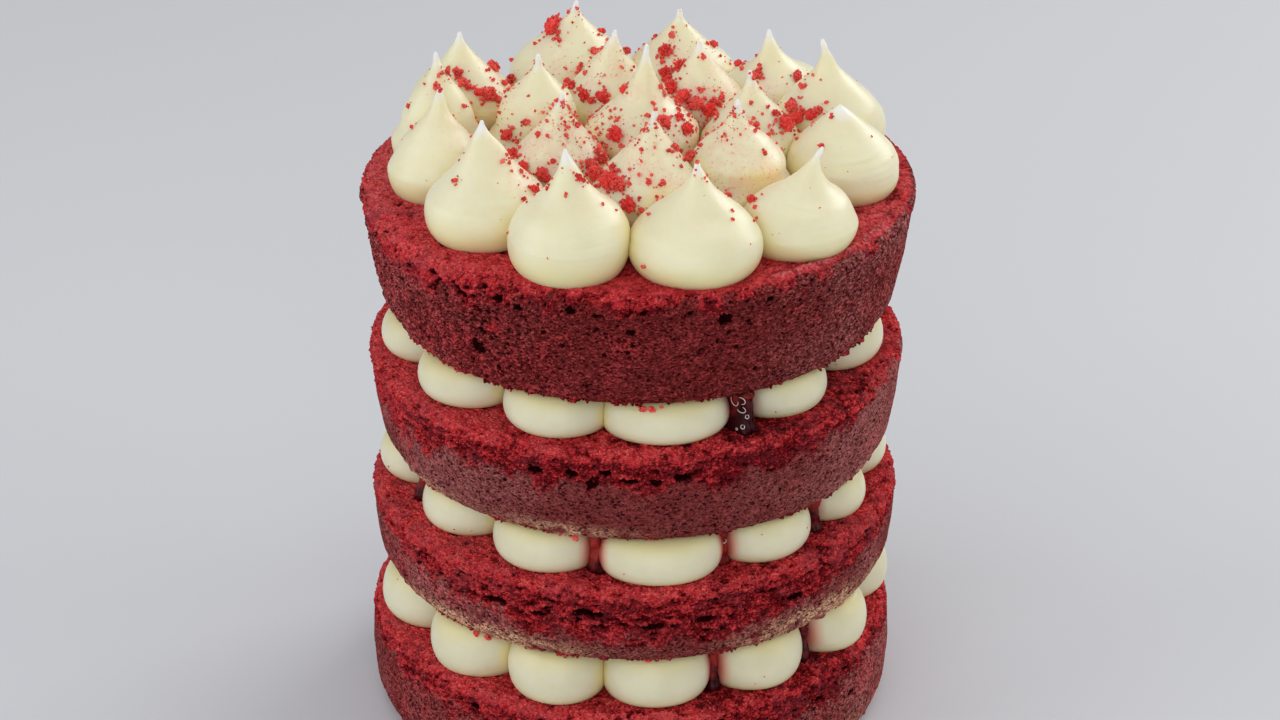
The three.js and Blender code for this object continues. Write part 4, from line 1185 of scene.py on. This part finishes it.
def crumbs_at(places, facing, sizes, level, seed, rough, lumps=1.9, shades=(0.2, 1.0)):
    """Crumbs as rough balls: a ball stretched to each size, its radius changed by layered noise with
    about as many lumps, turned at random about the surface's outward direction and sunk a little
    into the surface. Each has one number for how light it is."""
    draw = np.random.default_rng(seed)
    shell, faces = ball(level)
    count = len(places)
    spin = draw.uniform(0, TURN, count)
    helper = np.where(np.abs(facing[:, 2:3]) < 0.9, np.array([[0.0, 0, 1]]), np.array([[1.0, 0, 0]]))
    side = np.cross(helper, facing)
    side /= np.linalg.norm(side, axis=1)[:, None] + 1e-9
    ahead = np.cross(facing, side)
    across = side * np.cos(spin)[:, None] + ahead * np.sin(spin)[:, None]
    along = -side * np.sin(spin)[:, None] + ahead * np.cos(spin)[:, None]
    seeds = draw.uniform(0, 900, (count, 1, 3))
    lookup = (shell[None] * lumps + seeds).reshape(-1, 3)
    swell = np.clip(1 + 1.6 * rough * layered_noise(lookup, seed, 3, 0.7).reshape(count, -1), 0.35, 1.7)
    local = shell[None] * swell[..., None] * sizes[:, None, :] / 2
    points = sum(local[..., axis, None] * way[:, None] for axis, way in enumerate((across, along, facing)))
    points = points + (places + facing * sizes[:, 2:] * CRUMB_OUT)[:, None]
    triangles = faces[None] + (np.arange(count) * len(shell))[:, None, None]
    shade = np.repeat(draw.uniform(*shades, count), len(shell))
    return points.reshape(-1, 3), np.empty((0, 4), int), triangles.reshape(-1, 3), shade


def crumb_piece(name, parts, materials):
    """Crumbs in several parts as one piece."""
    points, quads, triangles, (shade,) = joined(parts)
    piece = make_piece(name, points, quads, triangles, {"shade": shade}, smooth=False)
    return dress(piece, materials["crumb"], "sponge")


def spot_sizes(spots):
    """The three sizes of crumbs whose width and height are given: as thick as the less of the two."""
    wide, tall = spots[:, 2], spots[:, 3]
    return np.stack([wide, tall, np.minimum(wide, tall)], 1)


def loose_crumbs(points, normals, draw, materials):
    """The crumbs that can be told apart, where the photograph shows them: a lumpy core for each and
    small grains strewn round it, more and larger round a large one."""
    spots = np.array(NAMED_CRUMBS)
    found = spots_seen(points, normals, spots)
    grains = []
    for column, row, wide, tall in spots:
        count = int(np.clip(round(wide * tall), 1, 24))
        shift = draw.normal(0, GRAIN_SPREAD, (count, 2)) * (wide, tall) * PIXELS_IN_MM
        size = draw.uniform(0.4, 1.5, count) * min(1.0, 0.55 + wide * 0.16)
        grains.append(np.column_stack([column + shift[:, 0], row + shift[:, 1], size]))
    grains = np.concatenate(grains)
    on = spots_seen(points, normals, grains)
    sizes = grains[:, 2:3] * draw.uniform(0.7, 1.15, (len(grains), 3))
    parts = [crumbs_at(points[on], normals[on], sizes, 1, 31, 0.6)]
    cores = spot_sizes(spots) * CORE_SHARE
    large = spots[:, 2] >= LARGE_CRUMB
    for level, these in ((3, large), (2, ~large)):
        on = found[these]
        parts.append(crumbs_at(points[on], normals[on], cores[these], level, 32, 0.5, 3.0, (0.0, 0.75)))
    return crumb_piece("loose_crumbs", parts, materials)


def fine_crumbs(points, normals, draw, settings, materials):
    """Small crumbs strewn over the kisses: as likely as a bell over the middle says, times how far
    the cream faces up, more in the valleys and in patches."""
    top, count = TOP_SPONGE["top"], settings.crumb_count
    away = np.hypot(points[:, 0] - (TOP_SPONGE["x"] + STREWN_MIDDLE[0]), points[:, 1] - STREWN_MIDDLE[1])
    valley = ease(top + 26, top + 8, points[:, 2])
    chance = np.exp(-(away / STREWN_R) ** 2) * np.clip(normals[:, 2], 0, 1) ** 0.6 * (0.35 + 0.65 * valley)
    clumps = layered_noise(points * 0.11, 77, 3)
    chance = chance * ease(-0.2, 0.5, clumps) ** 1.4 * (points[:, 2] < top + STREWN_HEIGHT) + 1e-12
    chance /= chance.sum()
    picked = draw.choice(len(points), count, replace=False, p=chance)
    sizes = (0.26 + 1.0 * draw.power(0.24, (count, 1))) * draw.uniform(0.5, 1.3, (count, 3))
    part = crumbs_at(points[picked], normals[picked], sizes * settings.crumb_size, 1, 33, 0.6)
    return crumb_piece("fine_crumbs", [part], materials)


def ring_crumbs(points, normals, draw, materials):
    """Crumbs on the cream between the layers: those that can be told apart and a few fine ones."""
    spots = np.array(RING_CRUMBS)
    found = spots_seen(points, normals, spots)
    picked = draw.choice(len(points), RING_SPECKS, replace=False)
    specks = draw.uniform(0.2, 0.55, (RING_SPECKS, 3))
    parts = [crumbs_at(points[found], normals[found], spot_sizes(spots), 2, 34, 0.5),
             crumbs_at(points[picked], normals[picked], specks, 1, 35, 0.4)]
    return crumb_piece("ring_crumbs", parts, materials)


def make_crumbs(materials, settings):
    """All crumbs on the cream, in three pieces."""
    draw = np.random.default_rng(4242)
    points, normals = surface_of([name.replace("kiss", "cream_kiss") for name in KISSES])
    loose_crumbs(points, normals, draw, materials)
    fine_crumbs(points, normals, draw, settings, materials)
    points, normals = surface_of([f"piped_ring_{index + 1}" for index in range(len(RINGS))])
    ring_crumbs(points, normals, draw, materials)


def make_bubbles(materials, settings):
    """The rims of bubbles on the jam where it comes out, pale as a painted highlight where their film
    catches light: each a thin tube bent along an arc that lies flat on the jam, thinnest at its two
    ends. Its middle is the jam's nearest point, moved across the view to the very pixel."""
    points, normals = surface_of([f"red_jam_{index + 1}" for index in range(len(RINGS))])
    spots = np.array(BUBBLES)
    found = spots_seen(points, normals, spots)
    column, row, depth = seen_at(points[found])
    pixel = depth / (CAMERA_LENS / SENSOR_WIDTH * PHOTO_SIZE[0])
    moved = np.stack([spots[:, 0] - column, 0 * row, row - spots[:, 1]], 1)
    centres = points[found] + moved * pixel[:, None]
    along = np.linspace(0, 1, RIM_GRID[0])
    round_tube = np.linspace(0, TURN, RIM_GRID[1], endpoint=False)[None, :, None]
    thick = (settings.bubble_rim / MM * (0.35 + 0.65 * np.sin(math.pi * along) ** 0.5))[:, None, None]
    parts = []
    for (_, _, size, start, sweep), at, centre in zip(spots, found, centres):
        outward = normals[at]
        side = np.cross([0, 0, 1.0], outward)
        side /= np.linalg.norm(side)
        up = np.cross(outward, side)
        turn = np.radians(start + sweep * along)[:, None, None]
        away = np.sin(turn) * side + np.cos(turn) * up
        rows = (centre + 0.35 * size * outward + (size + thick * np.cos(round_tube)) * away
                + thick * np.sin(round_tube) * outward)
        parts.append(closed_grid(rows, rows[0].mean(axis=0), rows[-1].mean(axis=0)))
    joined_points, quads, triangles, _ = joined(parts)
    piece = make_piece("jam_bubbles", joined_points, quads, triangles)
    return dress(piece, materials["bubble"], "jam")


def make_stage(settings, materials):
    """A plain floor, a soft sky, and a large lamp at each side and above, round the camera."""
    corners = np.array([(-4000, -3000, 0), (4000, -3000, 0), (4000, 9000, 0), (-4000, 9000, 0)])
    floor = make_piece("floor", corners, np.array([[0, 1, 2, 3]]), np.empty((0, 3), int))
    floor.data.materials.append(materials["floor"])
    world = bpy.data.worlds.new("soft_room")
    world.use_nodes = True
    background = world.node_tree.nodes["Background"]
    background.inputs["Color"].default_value = colour(settings.room_colour)
    background.inputs["Strength"].default_value = settings.room_light
    bpy.context.scene.world = world
    lamps = [
        ("right_lamp", (1500, -250, 850), 1.3, settings.right_light, (1.0, 0.985, 0.95)),
        ("left_lamp", (-1500, -350, 900), 1.5, settings.left_light, (0.97, 0.985, 1.0)),
        ("front_lamp", (-250, -1500, 700), 1.6, settings.front_light, (0.98, 0.99, 1.0)),
        ("top_lamp", (0, 350, 1300), 1.3, settings.top_light, (1.0, 0.99, 0.97)),
        ("window_lamp", (1150, 1150, 950), 1.0, settings.window_light, (1.0, 1.0, 0.98)),
    ]
    for name, place, size, power, tint in lamps:
        data = bpy.data.lights.new(name, "AREA")
        data.size, data.energy, data.color = size, power, tint
        lamp = bpy.data.objects.new(name, data)
        lamp.location = Vector(place) * MM
        aim = Vector((0, 0, 0.1)) - lamp.location
        lamp.rotation_euler = aim.to_track_quat("-Z", "Y").to_euler()
        bpy.context.collection.objects.link(lamp)
    data = bpy.data.cameras.new("photo_camera")
    data.lens, data.sensor_width = settings.camera_lens, SENSOR_WIDTH
    data.clip_start, data.clip_end = 0.05, 50
    camera = bpy.data.objects.new("photo_camera", data)
    eye, _, _, back = camera_frame()
    camera.location = Vector(eye) * MM
    camera.rotation_euler = (-Vector(back)).to_track_quat("-Z", "Y").to_euler()
    bpy.context.collection.objects.link(camera)
    scene = bpy.context.scene
    scene.camera = camera
    scene.view_settings.view_transform = "Standard"


def label_of(key):
    """A setting's name as a user reads it."""
    return key.replace("_", " ").capitalize()


# Every colour that a user may change, and what it is.
COLOURS = {
    "crumb_red": ((0.62, 0.036, 0.043), "Torn crumb in the light"),
    # Torn crumb at its brightest is a painted highlight, and in its hollows it is painted shade.
    "crumb_light": ((0.95, 0.125, 0.122), "The brightest torn crumb"),
    "crumb_shade": ((0.16, 0.007, 0.010), "Torn crumb in its hollows"),
    "crust_brown": ((0.23, 0.024, 0.024), "Browned crust"),
    # Browned crust in its hollows is painted shade.
    "crust_shade": ((0.1, 0.008, 0.009), "Browned crust in its hollows"),
    "crust_mauve": ((0.24, 0.05, 0.065), "Purplish patches in the crumb of the rims"),
    "crust_red": ((0.60, 0.048, 0.056), "Redder patches of crust"),
    "skin_red": ((0.72, 0.06, 0.068), "The smooth baked top"),
    "skin_dark": ((0.30, 0.016, 0.02), "Darker parts of the baked top"),
    # The lifted edge of the baked top is painted pale, as painted sheen.
    "skin_sheen": ((0.78, 0.22, 0.23), "The lifted edge of the baked top"),
    # The mauve bloom colour serves both the real bloom and the painted sheen.
    "bloom": ((0.52, 0.23, 0.215), "The mauve bloom on the crust"),
    "tan": ((0.92, 0.56, 0.34), "Tan patches on the crust"),
    # Small pores and the inside of large pores are painted shade.
    "pore_red": ((0.045, 0.001, 0.003), "Small pores"),
    "deep_pore_shade": ((0.012, 0.0005, 0.001), "Inside the large pores"),
    "cream": ((0.88, 0.835, 0.585), "Piped cream"),
    "cream_deep": ((0.85, 0.79, 0.54), "Piped cream where it is denser"),
    # Cream in the seams and near the sponge is painted yellow shade, and the thin tips are painted whiter as
    # light through them.
    "cream_shade": ((0.92, 0.77, 0.29), "Cream in the seams"),
    "cream_low_shade": ((0.82, 0.73, 0.32), "Cream near the sponge"),
    "cream_tip": ((0.92, 0.92, 0.84), "The thin tips"),
    "filling": ((0.79, 0.755, 0.54), "Cream between the layers"),
    "filling_deep": ((0.74, 0.70, 0.49), "Denser cream between the layers"),
    "stain_pink": ((0.74, 0.27, 0.19), "Cream tinted by jam"),
    "dust_pink": ((0.86, 0.40, 0.34), "The tint that fine crumbs give the cream"),
    "stain_red": ((0.42, 0.045, 0.035), "Cream soaked by jam"),
    "loose_crumb": ((0.94, 0.06, 0.052), "Crumbs on the cream"),
    "loose_crumb_light": ((0.98, 0.19, 0.15), "The brightest crumbs"),
    # Crumbs on the cream in their hollows are painted shade.
    "loose_crumb_shade": ((0.52, 0.018, 0.02), "Crumbs on the cream in their hollows"),
    "jam_dark": ((0.035, 0.002, 0.005), "Thick jam"),
    "jam_red": ((0.34, 0.026, 0.02), "Thin jam"),
    # The film of bubbles is painted pale as the highlight on their rims.
    "bubble_highlight": ((0.8, 0.55, 0.55), "The film of bubbles"),
    "floor_pale": ((0.69, 0.70, 0.73), "The floor"),
    "room_colour": ((0.93, 0.95, 1.0), "Light from the room"),
}
# The power of every lamp in watts, in the same way.
LAMPS = {
    "right_light": (6.6, "Power of the lamp at the right"),
    "left_light": (10.0, "Power of the lamp at the left"),
    "front_light": (10.0, "Power of the lamp in front"),
    "top_light": (4.0, "Power of the lamp above"),
    "window_light": (12.0, "Power of the lamp behind at the right"),
}


class CakeSettings(bpy.types.PropertyGroup):
    """The sizes, amounts, lights and colours that a user may change."""

    crumb_count: bpy.props.IntProperty(
        name="Crumbs", description="How many small crumbs are strewn", default=1900, min=0)
    crumb_size: bpy.props.FloatProperty(
        name="Crumb size", description="Size of the small crumbs against their usual one",
        default=1, min=0.1, max=3, subtype="FACTOR")
    bubble_rim: bpy.props.FloatProperty(
        name="Bubble rim", description="Half the thickness of the pale rims of bubbles on the jam",
        default=0.105 * MM, min=0, precision=6, unit="LENGTH")
    camera_lens: bpy.props.FloatProperty(
        name="Lens", description="Focal length of the camera", default=CAMERA_LENS, min=1, unit="CAMERA")
    room_light: bpy.props.FloatProperty(
        name="Room light", description="Strength of the light from the room", default=0.30, min=0)


for key, (value, text) in COLOURS.items():
    CakeSettings.__annotations__[key] = bpy.props.FloatVectorProperty(
        name=label_of(key), description=text, default=value, subtype="COLOR", size=3, min=0, max=1)
for key, (value, text) in LAMPS.items():
    CakeSettings.__annotations__[key] = bpy.props.FloatProperty(
        name=label_of(key), description=text, default=value, min=0, subtype="POWER")


def paints(settings):
    """Every material by its short name, made once."""
    return {
        "sponge": sponge_paint(settings),
        "cream": cream_paint("piped_cream", settings, "cream", "cream_deep"),
        "filling": cream_paint("filling_cream", settings, "filling", "filling_deep"),
        "crumb": crumb_paint(settings),
        "jam": jam_paint(settings),
        "bubble": bubble_paint(settings),
        "floor": floor_paint(settings),
    }


PAINTS = {}


def paints_of(context):
    """The materials, made from the settings when the first piece asks for them."""
    if not PAINTS:
        PAINTS.update(paints(context.scene.cake_settings))
    return PAINTS


class CAKE_OT_stage(bpy.types.Operator):
    """Make the floor, the lamps and the camera"""

    bl_idname = "cake.stage"
    bl_label = "Stage"

    def execute(self, context):
        make_stage(context.scene.cake_settings, paints_of(context))
        return {"FINISHED"}


class CAKE_OT_sponges(bpy.types.Operator):
    """Make the four sponge layers"""

    bl_idname = "cake.sponges"
    bl_label = "Sponge layers"

    def execute(self, context):
        for index in range(len(SPONGES)):
            make_sponge(index, paints_of(context))
        return {"FINISHED"}


class CAKE_OT_fillings(bpy.types.Operator):
    """Make the rings of piped cream, the jam and its bubbles"""

    bl_idname = "cake.fillings"
    bl_label = "Cream rings and jam"

    def execute(self, context):
        for index in range(len(RINGS)):
            make_ring(index, paints_of(context))
            make_jam(index, paints_of(context))
        make_bubbles(paints_of(context), context.scene.cake_settings)
        return {"FINISHED"}


class CAKE_OT_kisses(bpy.types.Operator):
    """Make the cream kisses on the top layer"""

    bl_idname = "cake.kisses"
    bl_label = "Cream kisses"

    def execute(self, context):
        for number, name in enumerate(KISSES):
            make_kiss(name, number, paints_of(context))
        return {"FINISHED"}


class CAKE_OT_crumbs(bpy.types.Operator):
    """Strew the crumbs over the kisses and the cream between the layers"""

    bl_idname = "cake.crumbs"
    bl_label = "Crumbs"

    def execute(self, context):
        make_crumbs(paints_of(context), context.scene.cake_settings)
        return {"FINISHED"}


class CAKE_PT_panel(bpy.types.Panel):
    """Lists the cake's pieces and its settings"""

    bl_idname = "CAKE_PT_panel"
    bl_label = "Layer cake"
    bl_space_type = "VIEW_3D"
    bl_region_type = "UI"
    bl_category = "Cake"

    def draw(self, context):
        for operator in OPERATORS:
            self.layout.operator(operator.bl_idname)
        for name in CakeSettings.__annotations__:
            self.layout.prop(context.scene.cake_settings, name)


OPERATORS = (CAKE_OT_stage, CAKE_OT_sponges, CAKE_OT_fillings, CAKE_OT_kisses, CAKE_OT_crumbs)


def register():
    """Adds the settings, the operators and the panel to Blender."""
    for made in (CakeSettings, *OPERATORS, CAKE_PT_panel):
        bpy.utils.register_class(made)
    bpy.types.Scene.cake_settings = bpy.props.PointerProperty(type=CakeSettings)


def unregister():
    """Takes them out again."""
    del bpy.types.Scene.cake_settings
    for made in (CAKE_PT_panel, *reversed(OPERATORS), CakeSettings):
        bpy.utils.unregister_class(made)


def main():
    """Registers the classes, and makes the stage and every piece."""
    register()
    bpy.ops.cake.stage()
    bpy.ops.cake.sponges()
    bpy.ops.cake.fillings()
    bpy.ops.cake.kisses()
    bpy.ops.cake.crumbs()


if __name__ == "__main__":
    main()
